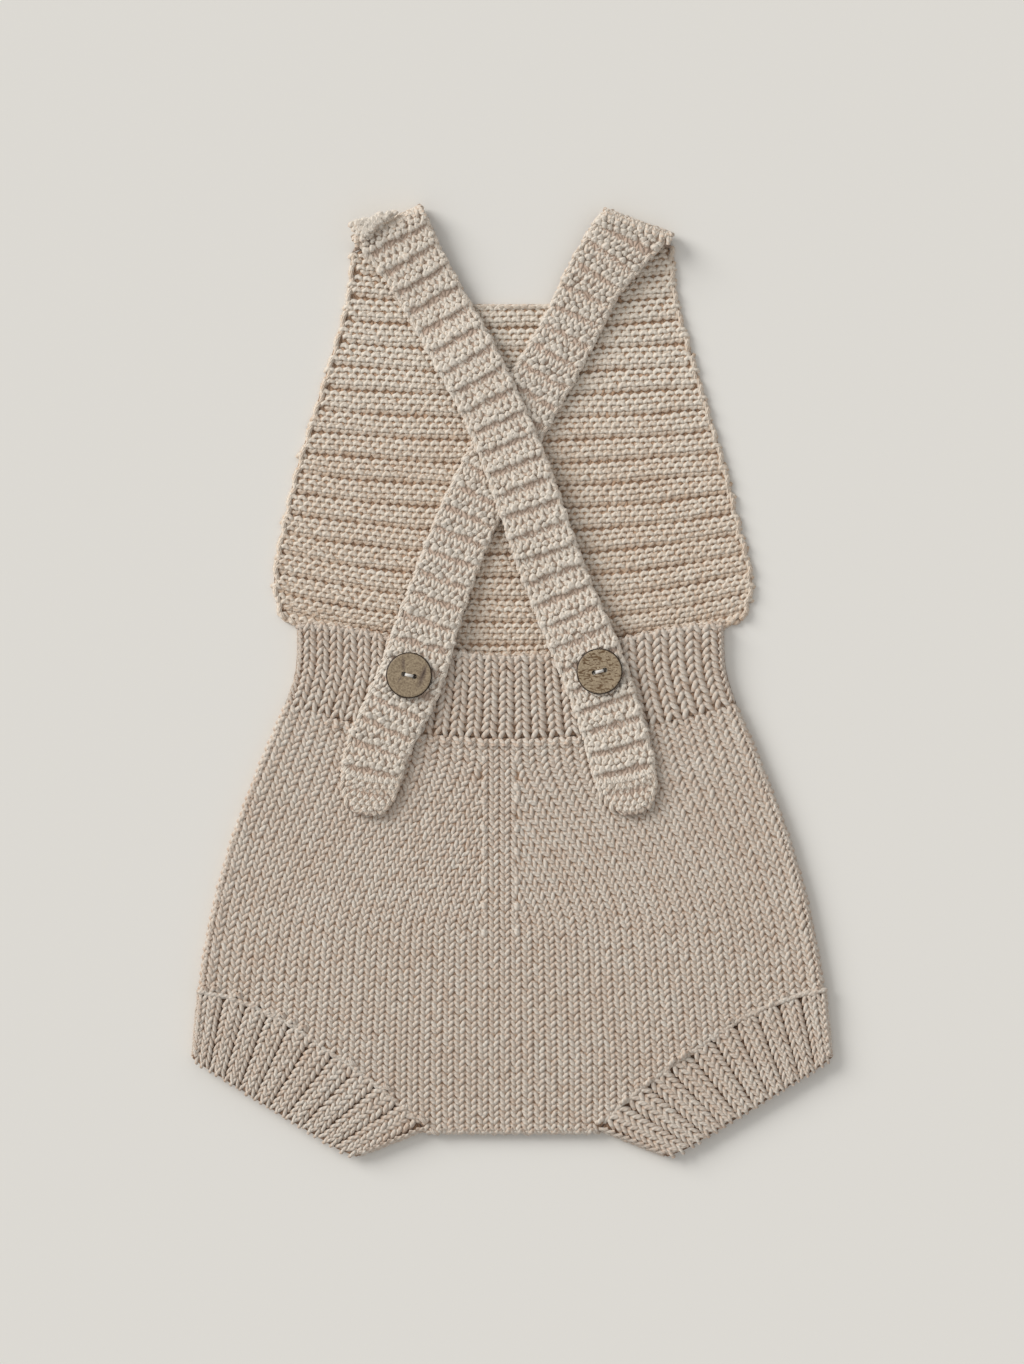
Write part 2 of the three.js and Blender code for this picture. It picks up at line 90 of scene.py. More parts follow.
# Side edges by height: y, left, right.
bodyEdges = (
    (-163, -140, 140),
    (-142.2, -137.2, 136.8),
    (-116.1, -133.8, 132.9),
    (-90, -128.2, 127.2),
    (-63.9, -120.4, 119.3),
    (-37.8, -110.6, 109.2),
    (-11.7, -99.4, 98.4),
    (3.5, -94.4, 93.4),
    (26, -93.4, 92.0),
)
bibEdges = (
    (24, -92.5, 91.5),
    (27.4, -99.6, 99.9),
    (33.9, -103.1, 103.8),
    (44, -104.2, 105),
    (66.6, -100.8, 100),
    (92.7, -94.4, 93.6),
    (118.8, -86.3, 86),
    (144.9, -78.4, 78.2),
    (166.6, -72.6, 72.4),
    (210, -70.8, 70.8),
)
bodySides = (curveThrough(bodyEdges, 1), curveThrough(bodyEdges, 2))
bibSides = (curveThrough(bibEdges, 1), curveThrough(bibEdges, 2))


def edgesAt(sides, y):
    return sides[0](y), sides[1](y)


def heightAt(surface, x, y):
    hit = surface.ray_cast(Vector((x, y, 60)), Vector((0, 0, -1)))[0]
    return None if hit is None else hit.z


reach = 1.3  # how far to each side a surface's slope is taken
edgeDrop = 1.6  # the slope beyond its edges


# The point of a surface above (x, y) and the direction it faces there; nothing beyond its edges.
def layOn(surface, x, y):
    z = heightAt(surface, x, y)
    if z is None:
        return None

    def rise(dx, dy):
        ahead, behind = heightAt(surface, x + dx, y + dy), heightAt(surface, x - dx, y - dy)
        ahead = z - edgeDrop * reach if ahead is None else ahead
        behind = z - edgeDrop * reach if behind is None else behind
        return (ahead - behind) / (2 * reach)

    return Vector((x, y, z)), toward(-rise(reach, 0), -rise(0, reach), 1)


# The same for loops that stand half upright on a slope.
def layHalfUpright(surface, x, y):
    spot = layOn(surface, x, y)
    return spot and (spot[0], spot[1].lerp(up, 0.5).normalized())


def addNode(tree, kind, wires={}, **settings):
    node = tree.nodes.new(kind)
    for key, value in settings.items():
        setattr(node, key, value)
    for key, value in wires.items():
        if isinstance(value, bpy.types.NodeSocket):
            tree.links.new(value, node.inputs[key])
        else:
            node.inputs[key].default_value = value
    return node


def newTree(name, kind, inputs, outputs):
    tree = bpy.data.node_groups.new(name, kind)
    for label, form, value in inputs:
        socket = tree.interface.new_socket(name=label, in_out="INPUT", socket_type="NodeSocket" + form)
        if value is not None:
            socket.default_value = value
    for label, form in outputs:
        tree.interface.new_socket(name=label, in_out="OUTPUT", socket_type="NodeSocket" + form)
    return tree, tree.nodes.new("NodeGroupInput"), tree.nodes.new("NodeGroupOutput")


def mathNode(tree, operation, a, b=0.0):
    return addNode(tree, "ShaderNodeMath", {0: a, 1: b}, operation=operation).outputs[0]


def add(tree, a, b):
    return mathNode(tree, "ADD", a, b)


def subtract(tree, a, b):
    return mathNode(tree, "SUBTRACT", a, b)


def multiply(tree, a, b):
    return mathNode(tree, "MULTIPLY", a, b)


yarnEnds = {"Start": "Start", "Start Handle": "Start handle", "End Handle": "End handle", "End": "End"}


# One short length of yarn on a curve, thickest at its middle, or past it where it is skewed.
def yarnLengthTree():
    inputs = [(label, "Vector", None) for label in yarnEnds.values()]
    inputs += [("Radius", "Float", 0.001), ("Tip", "Float", 0.5), ("Skew", "Float", 1.0)]
    inputs += [("Steps", "Int", 4), ("Sides", "Int", 5)]
    tree, into, out = newTree("yarnLength", "GeometryNodeTree", inputs, [("Yarn", "Geometry")])

    def marked(shape, name):
        along = addNode(tree, "GeometryNodeSplineParameter").outputs["Factor"]
        wires = {"Geometry": shape.outputs[0], "Name": name, "Value": along}
        node = addNode(tree, "GeometryNodeStoreNamedAttribute", wires, data_type="FLOAT", domain="POINT")
        return node.outputs[0]

    wires = {key: into.outputs[label] for key, label in yarnEnds.items()}
    line = addNode(tree, "GeometryNodeCurvePrimitiveBezierSegment", {"Resolution": 12, **wires})
    wires = {"Curve": line.outputs[0], "Count": into.outputs["Steps"]}
    even = addNode(tree, "GeometryNodeResampleCurve", wires, mode="COUNT")
    along = addNode(tree, "GeometryNodeSplineParameter").outputs["Factor"]
    skewed = mathNode(tree, "POWER", along, into.outputs["Skew"])
    bulge = mathNode(tree, "SINE", multiply(tree, skewed, math.pi))
    rest = subtract(tree, 1.0, into.outputs["Tip"])
    taper = add(tree, into.outputs["Tip"], multiply(tree, rest, bulge))
    thick = addNode(tree, "GeometryNodeSetCurveRadius", {"Curve": marked(even, "alongYarn"), "Radius": taper})
    wires = {"Resolution": into.outputs["Sides"], "Radius": into.outputs["Radius"]}
    ring = addNode(tree, "GeometryNodeCurvePrimitiveCircle", wires)
    wires = {"Curve": thick.outputs[0], "Profile Curve": marked(ring, "aroundYarn"), "Fill Caps": True}
    tube = addNode(tree, "GeometryNodeCurveToMesh", wires)
    soft = addNode(tree, "GeometryNodeSetShadeSmooth", {"Geometry": tube.outputs[0], "Shade Smooth": True})
    tree.links.new(soft.outputs[0], out.inputs[0])
    return tree


strapSurfaces = [cadSurface("left_strap"), cadSurface("right_strap")]


# Knitting that a strap hides completely is left out.
def underStrap(x, y):
    margin = 3.5
    spots = ((0, 0), (margin, 0), (-margin, 0), (0, margin), (0, -margin))
    return any(all(heightAt(s, x + dx, y + dy) is not None for dx, dy in spots) for s in strapSurfaces)


stitchWide, stitchTall = 4.8, 3.57  # the stitch that the legs are drawn for
lowestYarn = 0.15
legGirth = 0.86  # a leg's thickness against the other loops'
bumpPitch = 3.95  # the spacing that the arches are drawn for
leftLeg, rightLeg, bump, chain = 0, 1, 2, 3
# Four points of each kind of loop: across and along by its own size, and up by the dip.
legPoints = ((0.49, -0.70, -1.0), (0.41, -0.32, 0.5), (0.17, 0.36, 0.5), (0.01, 0.60, -0.8))
bumpPoints = ((-0.5, -0.42, -1.0), (-0.4, 0.6, 0.5), (0.4, 0.6, 0.5), (0.5, -0.42, -1.0))
chainPoints = ((0.0, -0.5, -1.0), (0.12, -0.25, 0.5), (0.12, 0.25, 0.5), (0.0, 0.5, -1.0))
# In the order of the kinds: width, height, side, points, steps, girth, skew.
loopKinds = (
    ("Stitch width", "Stitch height", -1, legPoints, 4, 1.0, 1.15),
    ("Stitch width", "Stitch height", 1, legPoints, 4, 1.0, 1.15),
    ("Bump width", "Bump height", 1, bumpPoints, 5, 0.95, 1.0),
    ("Chain length", "Chain length", 1, chainPoints, 5, 0.92, 1.0),
)
loopSizes = ("Yarn radius", "Stitch width", "Stitch height", "Bump width", "Bump height", "Chain length")
loopSizes += ("Dip", "Tip", "Wobble")


# Puts yarn on the stitch points: a leg, an arched bump or an edge chain, by the point's kind.
def knittingTree(yarnLength):
    inputs = [("Stitch points", "Geometry", None)] + [(label, "Float", None) for label in loopSizes]
    inputs += [("Seed", "Int", 7), ("Yarn", "Material", None)]
    tree, into, out = newTree("knitting", "GeometryNodeTree", inputs, [("Knitting", "Geometry")])

    def vector(x, y, z):
        return addNode(tree, "ShaderNodeCombineXYZ", {0: x, 1: y, 2: z}).outputs[0]

    def sized(label, share):
        return multiply(tree, into.outputs[label], share)

    def named(name, form):
        node = addNode(tree, "GeometryNodeInputNamedAttribute", {"Name": name}, data_type=form)
        return node.outputs["Attribute"]

    axes = {"Primary Axis": named("facing", "FLOAT_VECTOR"), "Secondary Axis": named("growing", "FLOAT_VECTOR")}
    turned = addNode(tree, "FunctionNodeAxesToRotation", axes, primary_axis="Z", secondary_axis="Y")
    low, high = sized("Wobble", -1.0), into.outputs["Wobble"]
    range3 = {0: vector(low, low, low), 1: vector(high, high, high), "Seed": into.outputs["Seed"]}
    shake = addNode(tree, "FunctionNodeRandomValue", range3, data_type="FLOAT_VECTOR")
    shaken = addNode(tree, "FunctionNodeEulerToRotation", {0: shake.outputs[0]})
    wires = {"Rotation": turned.outputs[0], "Rotate By": shaken.outputs[0]}
    turn = addNode(tree, "FunctionNodeRotateRotation", wires, rotation_space="LOCAL")
    joined = tree.nodes.new("GeometryNodeJoinGeometry")
    for kind, (wide, tall, side, points, steps, girth, skew) in enumerate(loopKinds):
        wires = {"Radius": sized("Yarn radius", girth), "Tip": into.outputs["Tip"]}
        wires.update({"Skew": skew, "Steps": steps})
        for label, (x, y, z) in zip(yarnEnds.values(), points):
            wires[label] = vector(sized(wide, side * x), sized(tall, y), sized("Dip", z))
        yarn = addNode(tree, "GeometryNodeGroup", wires, node_tree=yarnLength)
        wires = {2: named("kind", "INT"), 3: kind}
        isKind = addNode(tree, "FunctionNodeCompare", wires, data_type="INT", operation="EQUAL")
        wires = {
            "Points": into.outputs["Stitch points"],
            "Selection": isKind.outputs[0],
            "Instance": yarn.outputs[0],
            "Rotation": turn.outputs[0],
            "Scale": named("span", "FLOAT_VECTOR"),
        }
        placed = addNode(tree, "GeometryNodeInstanceOnPoints", wires)
        tree.links.new(placed.outputs[0], joined.inputs[0])
    real = addNode(tree, "GeometryNodeRealizeInstances", {"Geometry": joined.outputs[0]})
    wires = {"Geometry": real.outputs[0], "Material": into.outputs["Yarn"]}
    painted = addNode(tree, "GeometryNodeSetMaterial", wires)
    tree.links.new(painted.outputs[0], out.inputs[0])
    return tree


knitting = knittingTree(yarnLengthTree())


# Soft fibres, the twist of the plies with its painted highlight and shade, and small changes of tone for
# anything spun from the cotton.
def cottonGroup():
    inputs = [("Light", "Color", (0.7, 0.6, 0.5, 1)), ("Dark", "Color", (0.5, 0.4, 0.3, 1))]
    inputs += [("Shade", "Float", 0.5), ("Twist", "Float", 0.0), ("Fibre size", "Float", 0.5)]
    outputs = [("Colour", "Color"), ("Height", "Float")]
    tree, into, out = newTree("cottonFibre", "ShaderNodeTree", inputs, outputs)
    place = addNode(tree, "ShaderNodeTexCoord").outputs["Object"]
    size = mathNode(tree, "DIVIDE", 1000.0, into.outputs["Fibre size"])
    wires = {"Vector": place, "Scale": size, "Detail": 3.0, "Roughness": 0.65}
    fibre = addNode(tree, "ShaderNodeTexNoise", wires).outputs[0]
    patch = addNode(tree, "ShaderNodeTexNoise", {"Vector": place, "Scale": 45.0, "Detail": 2.0}).outputs[0]
    fine = multiply(tree, subtract(tree, fibre, 0.5), 0.9)
    wide = multiply(tree, subtract(tree, patch, 0.5), 0.3)
    # painted highlight and shade: the colour brightens and darkens along the plies' twist
    plyHighlight = multiply(tree, into.outputs["Twist"], 0.2)
    total = add(tree, add(tree, fine, wide), add(tree, plyHighlight, into.outputs["Shade"]))
    held = addNode(tree, "ShaderNodeClamp", {0: total}).outputs[0]
    wires = {0: held, 6: into.outputs["Dark"], 7: into.outputs["Light"]}
    blend = addNode(tree, "ShaderNodeMix", wires, data_type="RGBA")
    relief = add(tree, multiply(tree, fibre, 0.35), multiply(tree, into.outputs["Twist"], 0.65))
    tree.links.new(blend.outputs[2], out.inputs["Colour"])
    tree.links.new(relief, out.inputs["Height"])
    return tree


# Rows of small V-shaped stitches as relief, for faces that lie on the table or inside.
def stockinetteGroup():
    inputs = [("Wale", "Float", 4.8), ("Row", "Float", 3.6)]
    tree, into, out = newTree("stockinetteRelief", "ShaderNodeTree", inputs, [("Height", "Float")])
    place = addNode(tree, "ShaderNodeTexCoord").outputs["Object"]
    split = addNode(tree, "ShaderNodeSeparateXYZ", {0: place})
    across = mathNode(tree, "DIVIDE", multiply(tree, split.outputs[0], 1000.0), into.outputs["Wale"])
    upwards = mathNode(tree, "DIVIDE", multiply(tree, split.outputs[1], 1000.0), into.outputs["Row"])
    within = mathNode(tree, "ABSOLUTE", subtract(tree, mathNode(tree, "FRACT", across), 0.5))

    def wave(value, turn):
        return mathNode(tree, "ABSOLUTE", mathNode(tree, "SINE", multiply(tree, value, turn)))

    row = wave(add(tree, upwards, multiply(tree, within, 1.7)), math.pi)
    column = wave(across, 2 * math.pi)
    height = multiply(tree, mathNode(tree, "POWER", row, 0.7), mathNode(tree, "POWER", column, 0.5))
    tree.links.new(height, out.inputs["Height"])
    return tree


cottonFibre = cottonGroup()
stockinetteRelief = stockinetteGroup()


def newMaterial(name, roughness, sheen=0.0):
    material = bpy.data.materials.new(name)
    material.use_nodes = True
    shader = material.node_tree.nodes["Principled BSDF"]
    shader.inputs["Roughness"].default_value = roughness
    shader.inputs["Sheen Weight"].default_value = sheen
    shader.inputs["Specular IOR Level"].default_value = 0.25
    return material, material.node_tree, shader


def addCotton(tree, light, dark, fibre, **wires):
    wires = {key.capitalize(): value for key, value in wires.items()}
    wires.update({"Light": (*light, 1), "Dark": (*dark, 1), "Fibre size": fibre})
    return addNode(tree, "ShaderNodeGroup", wires, node_tree=cottonFibre)


# The colour and the relief of a surface; depth is in millimetres.
def dress(tree, shader, colour, height, depth, strength):
    wires = {"Height": height, "Distance": depth * toMetres, "Strength": strength}
    relief = addNode(tree, "ShaderNodeBump", wires)
    tree.links.new(colour, shader.inputs["Base Color"])
    tree.links.new(relief.outputs[0], shader.inputs["Normal"])


def yarnMaterial(name, light, dark, fibre=0.5, bumpDepth=0.16):
    material, tree, shader = newMaterial(name, 0.7, 0.3)
    shade, along, around = [
        addNode(tree, "ShaderNodeAttribute", attribute_name=key).outputs["Fac"]
        for key in ("shade", "alongYarn", "aroundYarn")
    ]
    twist = mathNode(tree, "SINE", add(tree, multiply(tree, along, 16.0), multiply(tree, around, 12.566)))
    # the ends of a loop go down into the cloth, and painted shade makes them browner there
    middle = mathNode(tree, "SINE", multiply(tree, along, math.pi))
    paintedEndShade = multiply(tree, subtract(tree, 0.72, middle), 0.4)
    cotton = addCotton(tree, light, dark, fibre, shade=subtract(tree, shade, paintedEndShade), twist=twist)
    dress(tree, shader, cotton.outputs["Colour"], cotton.outputs["Height"], bumpDepth, 0.9)
    return material


def backingMaterial(name, light, dark):
    material, tree, shader = newMaterial(name, 0.95, 0.1)
    stitches = addNode(tree, "ShaderNodeGroup", node_tree=stockinetteRelief).outputs[0]
    # the stitch relief's low parts are painted darker as shade
    cotton = addCotton(tree, light, dark, 0.6, shade=multiply(tree, stitches, 0.75))
    height = add(tree, stitches, multiply(tree, cotton.outputs["Height"], 0.25))
    dress(tree, shader, cotton.outputs["Colour"], height, 0.9, 0.8)
    return material


# The cloth shells behind the loops are coloured browner and darker than the yarn: painted shade in the gaps
# between loops.
cottonTones = {  # light, dark
    "outer": ((0.685, 0.63, 0.55), (0.515, 0.375, 0.275)),
    "inner": ((0.745, 0.667, 0.565), (0.56, 0.40, 0.275)),
    "strap": ((0.72, 0.65, 0.557), (0.58, 0.425, 0.305)),
    "shadedBacking": ((0.50, 0.34, 0.23), (0.29, 0.18, 0.115)),
    "inner backing": ((0.57, 0.39, 0.265), (0.35, 0.22, 0.14)),
    "cuff backing": ((0.36, 0.225, 0.145), (0.20, 0.12, 0.075)),
    "strap backing": ((0.63, 0.50, 0.405), (0.46, 0.335, 0.25)),
    "thread": ((0.90, 0.88, 0.84), (0.72, 0.69, 0.64)),
}
outerYarn = yarnMaterial("outer yarn", *cottonTones["outer"])
strapYarn = yarnMaterial("strap yarn", *cottonTones["strap"])
innerYarn = yarnMaterial("inner yarn", *cottonTones["inner"])
shadedBacking = backingMaterial("shaded cloth behind the loops", *cottonTones["shadedBacking"])
shadedInnerBacking = backingMaterial("shaded cloth behind the bib's loops", *cottonTones["inner backing"])
shadedCuffBacking = backingMaterial("shaded cloth behind the cuffs' ribs", *cottonTones["cuff backing"])
shadedStrapBacking = backingMaterial("shaded cloth behind the straps' loops", *cottonTones["strap backing"])
underside = backingMaterial("plain knitted underside", *cottonTones["outer"])


def newObject(name, mesh, material):
    mesh.materials.clear()
    mesh.materials.append(material)
    obj = bpy.data.objects.new(name, mesh)
    bpy.context.scene.collection.objects.link(obj)
    return obj


# A closed thin shell between two grids of points of the same size. What looks down is plain cloth.
def shellBetween(name, outer, inner, material, ringed=False):
    rows, columns = len(outer), len(outer[0])
    points = [tuple(p) for line in outer for p in line] + [tuple(p) for line in inner for p in line]
    start = rows * columns
    faces = []
    across = columns if ringed else columns - 1
    for j in range(rows - 1):
        for i in range(across):
            a, b = j * columns + i, j * columns + (i + 1) % columns
            faces.append((a, b, b + columns, a + columns))
            faces.append((start + a, start + a + columns, start + b + columns, start + b))
    for i in range(across):
        a, b = i, (i + 1) % columns
        c, d = a + (rows - 1) * columns, b + (rows - 1) * columns
        faces.append((a, start + a, start + b, b))
        faces.append((c, d, start + d, start + c))
    if not ringed:
        for j in range(rows - 1):
            a, b = j * columns, j * columns + columns - 1
            faces.append((a, a + columns, start + a + columns, start + a))
            faces.append((b, start + b, start + b + columns, b + columns))
    mesh = bpy.data.meshes.new(name)
    mesh.from_pydata([[c * toMetres for c in p] for p in points], [], faces)
    mesh.validate()
    work = bmesh.new()
    work.from_mesh(mesh)
    bmesh.ops.remove_doubles(work, verts=work.verts, dist=0.02 * toMetres)
    bmesh.ops.recalc_face_normals(work, faces=work.faces)
    work.to_mesh(mesh)
    work.free()
    shell = newObject(name, mesh, material)
    mesh.materials.append(underside)
    for polygon in mesh.polygons:
        polygon.use_smooth = True
        polygon.material_index = 1 if polygon.normal.z < 0.1 else 0
    return shell


def newLoops():
    return {"place": [], "facing": [], "growing": [], "span": [], "shade": [], "kind": []}


def addLoop(loops, kind, place, facing, growing, span, tone):
    loops["kind"].append(kind)
    loops["place"].append(place)
    loops["facing"].append(facing)
    loops["growing"].append(growing)
    loops["span"].append(span)
    loops["shade"].append(clamp01(tone + dice.gauss(0, 0.09)))


# One knit stitch: two legs that meet at its upper point, bow outwards and tuck in under the next one.
def addStitch(loops, spot, facing, along, wide, tall, size=1.0, sink=0.0, tone=0.5):
    across = along.cross(facing).normalized()
    girth = wide / stitchWide
    for kind in (leftLeg, rightLeg):
        jitter = across * dice.gauss(0, 0.08) + along * dice.gauss(0, 0.12) + facing * dice.gauss(0, 0.08)
        growing = along + across * dice.gauss(0, 0.05)
        span = (girth * dice.uniform(0.96, 1.05), tall / stitchTall, girth * size * legGirth)
        addLoop(loops, kind, spot - facing * sink + jitter, facing, growing, span, tone)


# One arch of a purl row, and the sunken one beside it that fills the gap to the next arch, painted darker as
# shade.
def addPurl(loops, place, facing, along, across, pitch, depth, tone, last=False):
    for half, shift, low, drop in ((1, 0.0, 0.0, 0.0), (-1, 0.5, 1.25, 0.42)):
        if last and half < 0:
            continue
        at = place + across * (shift * pitch + dice.gauss(0, 0.15)) - along * (low + dice.gauss(0, 0.12))
        at = at - facing * (depth + drop + dice.gauss(0, 0.08))
        growing = (along + across * dice.gauss(0, 0.09)) * half
        span = (pitch / bumpPitch, 1 + dice.uniform(-0.08, 0.08), 0.88)
        # the sunken arch is painted darker as shade
        addLoop(loops, bump, at, facing, growing, span, tone if half > 0 else tone - 0.3)


# A soft uneven lump of a loose purl row.
def addLump(loops, place, facing, along, across, tone, size):
    at = place + across * dice.gauss(0, 0.3) + along * dice.gauss(0, 0.35) + facing * dice.gauss(0, 0.18)
    growing = along + across * dice.gauss(0, 0.32)
    swell = size * dice.uniform(0.85, 1.15)
    addLoop(loops, bump, at, facing, growing, (swell, swell * dice.uniform(0.85, 1.1), swell * 0.95), tone)


def knit(name, loops, sizes, material, seed):
    mesh = bpy.data.meshes.new(name)
    mesh.from_pydata([tuple(p * toMetres) for p in loops["place"]], [], [])
    for key in ("facing", "growing", "span"):
        layer = mesh.attributes.new(key, "FLOAT_VECTOR", "POINT")
        layer.data.foreach_set("vector", [c for v in loops[key] for c in v])
    mesh.attributes.new("shade", "FLOAT", "POINT").data.foreach_set("value", loops["shade"])
    mesh.attributes.new("kind", "INT", "POINT").data.foreach_set("value", loops["kind"])
    obj = newObject(name, mesh, material)
    modifier = obj.modifiers.new("knitting", "NODES")
    modifier.node_group = knitting
    socketOf = {
        item.name: item.identifier
        for item in knitting.interface.items_tree
        if item.item_type == "SOCKET" and item.in_out == "INPUT"
    }
    for key, value in sizes.items():
        modifier[socketOf[key]] = value * (1 if key in ("Tip", "Wobble") else toMetres)
    modifier[socketOf["Seed"]] = seed
    modifier[socketOf["Yarn"]] = material
    graph = bpy.context.evaluated_depsgraph_get()
    knitted = bpy.data.meshes.new_from_object(obj.evaluated_get(graph))
    obj.modifiers.remove(modifier)
    obj.data = knitted
    knitted.materials.clear()
    knitted.materials.append(material)
    for key in ("facing", "growing", "span", "kind"):
        if key in knitted.attributes:
            knitted.attributes.remove(knitted.attributes[key])
    knitted.name = name
    places = np.empty(3 * len(knitted.vertices))
    knitted.vertices.foreach_get("co", places)
    places[2::3] = np.maximum(places[2::3], lowestYarn * toMetres)  # the yarn lies flat on the table
    knitted.vertices.foreach_set("co", places)
    print(name, len(loops["place"]), "loops", sum(len(p.vertices) - 2 for p in knitted.polygons), "triangles")
    return obj


def finishPiece(cloth, stitches, node):
    for piece in (cloth, stitches):
        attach(piece, "root")
    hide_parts(node)


body = {
    "foldHeight": 2.8,
    "foldRadius": 2.65,
    "foldTurns": (1.2, 0.6, 0.0),  # from the level cloth out to the fold's edge
    "foldGap": 0.15,  # from the fold's height to each panel
    "seamGap": 0.3,
    "sink": 0.85,  # how far the shell lies below the stitches' tops
    "wall": 1.3,
    "thinnest": 0.3,
    "backFloor": 3.1,
    "backLevel": 5.2,  # where the solid has no height
}


# A panel of the body's tube between two lines across it.
# The back one lies over its solid, the front one on the table.
def panelShell(name, topLine, bottomLine, rows, columns, surface=None):
    outer, inner = [], []
    way = 1 if surface else -1
    level = body["foldHeight"] + way * body["foldGap"]
    for j in range(rows + 1):
        lines = [[], []]
        for i in range(-2, columns + 3):
            share = min(1, max(0, i / columns))
            y = mix(topLine(share), bottomLine(share), j / rows)
            left, right = edgesAt(bodySides, y)
            turn = math.pi / 2 if 0 < i < columns else body["foldTurns"][max(-i, i - columns)]
            side = -1 if i <= 0 else 1
            x = mix(left + body["foldRadius"], right - body["foldRadius"], share)
            for k, line in enumerate(lines):
                radius = body["foldRadius"] - (body["sink"] if surface else 0) - k * body["wall"]
                radius = max(radius, body["thinnest"])
                if turn < math.pi / 2:
                    line.append((x + side * radius * math.cos(turn), y, level + way * radius * math.sin(turn)))
                elif surface:
                    z = (heightAt(surface, x, y) or body["backLevel"]) - body["sink"]
                    line.append((x, y, z if k == 0 else max(z - body["wall"], body["backFloor"])))
                else:
                    line.append((x, y, level - radius))
        outer.append(lines[0])
        inner.append(lines[1])
    return shellBetween(name, outer, inner, shadedBacking if surface else underside)


shorts = {
    "topMiddle": -24.0,
    "topRise": 14.5,
    "row": 2.8,
    "rows": 64,
    "flatAfterRow": 38,
    "increaseLeft": -12.6,
    "increaseRight": 1.7,
    "walesLeft": (17, 25),
    "walesRight": (19, 27),
    "increaseFrom": -31.0,
    "increaseTo": -109.0,
    "bumps": (-33.5, -45.2, -51.3, -63.1, -74.0, -85.7, -97.4, -108.8),
    "crotchHalf": 36.5,
    "crotchY": -196.6,
    "cuffSide": 137.2,
    "sideWales": (-12, -132),
    "flat": (275, 187),
    "area": 41500,
}
shortsSizes = {
    "Yarn radius": 1.16,
    "Stitch width": stitchWide,
    "Stitch height": stitchTall,
    "Bump width": 4.1,
    "Bump height": 1.8,
    "Chain length": 4.6,
    "Dip": 0.9,
    "Tip": 0.45,
    "Wobble": 0.06,
}


def shortsTop(share):
    return shorts["topMiddle"] + shorts["topRise"] * (2 * share - 1) ** 2 - body["seamGap"]


# The seam between shorts and cuff, by distance from the middle line.
seamOut = [36.5, 42, 50, 60, 70, 82, 96, 112, 126, 137.5]
seamY = [-195.8, -189.5, -182.4, -174, -166.7, -158.6, -148.9, -141, -136.2, -134.2]


def shortsBottom(share):
    x = abs(mix(-shorts["cuffSide"], shorts["cuffSide"], share))
    return shorts["crotchY"] + 1.2 if x < shorts["crotchHalf"] else float(np.interp(x, seamOut, seamY)) + 0.2


def makeShorts():
    back = cadSurface("back_shorts")
    loops = newLoops()

    # wales follow the side edges, and new ones start at the middle
    def waleX(side, k, y):
        grown = (shorts["increaseFrom"] - y) / (shorts["increaseFrom"] - shorts["increaseTo"])
        count = mix(*shorts["walesLeft" if side < 0 else "walesRight"], smooth(clamp01(grown)))
        edge = edgesAt(bodySides, y)[0 if side < 0 else 1]
        pitch = abs(edge - shorts["increaseLeft" if side < 0 else "increaseRight"]) / count
        return edge - side * (k + 0.5) * pitch, pitch, k + 0.5 < count

    middlePitch = (shorts["increaseRight"] - shorts["increaseLeft"]) / 3
    for row in range(shorts["rows"]):
        fade = clamp01(1 - row / shorts["flatAfterRow"])
        middleY = shorts["topMiddle"] - (row + 0.45) * shorts["row"]
        places = []
        for k in range(28):
            for side in (-1, 1):
                x, pitch, there = waleX(side, k, middleY)
                if there:
                    places.append((side, k, x, pitch))
        for k in range(3):
            places.append((0, k, shorts["increaseLeft"] + (k + 0.5) * middlePitch, middlePitch))
        for side, k, x, pitch in places:
            lift = shorts["topRise"] * (x / 104) ** 2
            y = middleY + lift * fade + dice.gauss(0, 0.06)
            run = 0.0
            if side:
                x = waleX(side, k, y)[0]
                run = (waleX(side, k, y + 3)[0] - waleX(side, k, y - 3)[0]) / 6
            spot = layOn(back, x, y)
            if spot is None or underStrap(x, y):
                continue
            place, facing = spot
            along = Vector((run, 1, 0))
            along = (along - facing * along.dot(facing)).normalized()
            tall = shorts["row"] + (lift / shorts["flatAfterRow"] if fade else 0)
            slant = math.hypot(1, run)
            addStitch(loops, place, facing, along, pitch / slant, tall * slant, sink=0.95)
    for x in (shorts["increaseLeft"], shorts["increaseRight"]):
        for y in shorts["bumps"]:
            spot = layOn(back, x, y + dice.uniform(-0.5, 0.5))
            growing = Vector((dice.uniform(-0.3, 0.3), 1, 0))
            addLoop(loops, chain, spot[0] - spot[1] * 0.6, spot[1], growing, (1.35, 0.85, 1.0), 0.62)
    addSideWales(loops, *shorts["sideWales"], 1.0)
    addRun(loops, crotchLine(), 3.4, (1.1, 1.0, 1.1), 0.5)
    stitches = knit("back_shorts_stitches", loops, shortsSizes, outerYarn, 3)
    cloth = panelShell("back_shorts_cloth", shortsTop, shortsBottom, 36, 44, back)
    finishPiece(cloth, stitches, "back_shorts")


# The wale that runs down each side fold; half is 1 on the back and -1 on the front.
def addSideWales(loops, top, bottom, half):
    y = top
    while y > bottom:
        left, right = edgesAt(bodySides, y)
        nextLeft, nextRight = edgesAt(bodySides, y - 3)
        for side, x, nextX in ((-1, left, nextLeft), (1, right, nextRight)):
            facing = toward(side, 0, 0.35 * half)
            along = toward(x - nextX, 3, 0)
            place = Vector((x - side * 1.3, y, body["foldHeight"] + half * 1.25))
            addStitch(loops, place, facing, along, 2.9, shorts["row"], size=1.25)
        y -= shorts["row"]


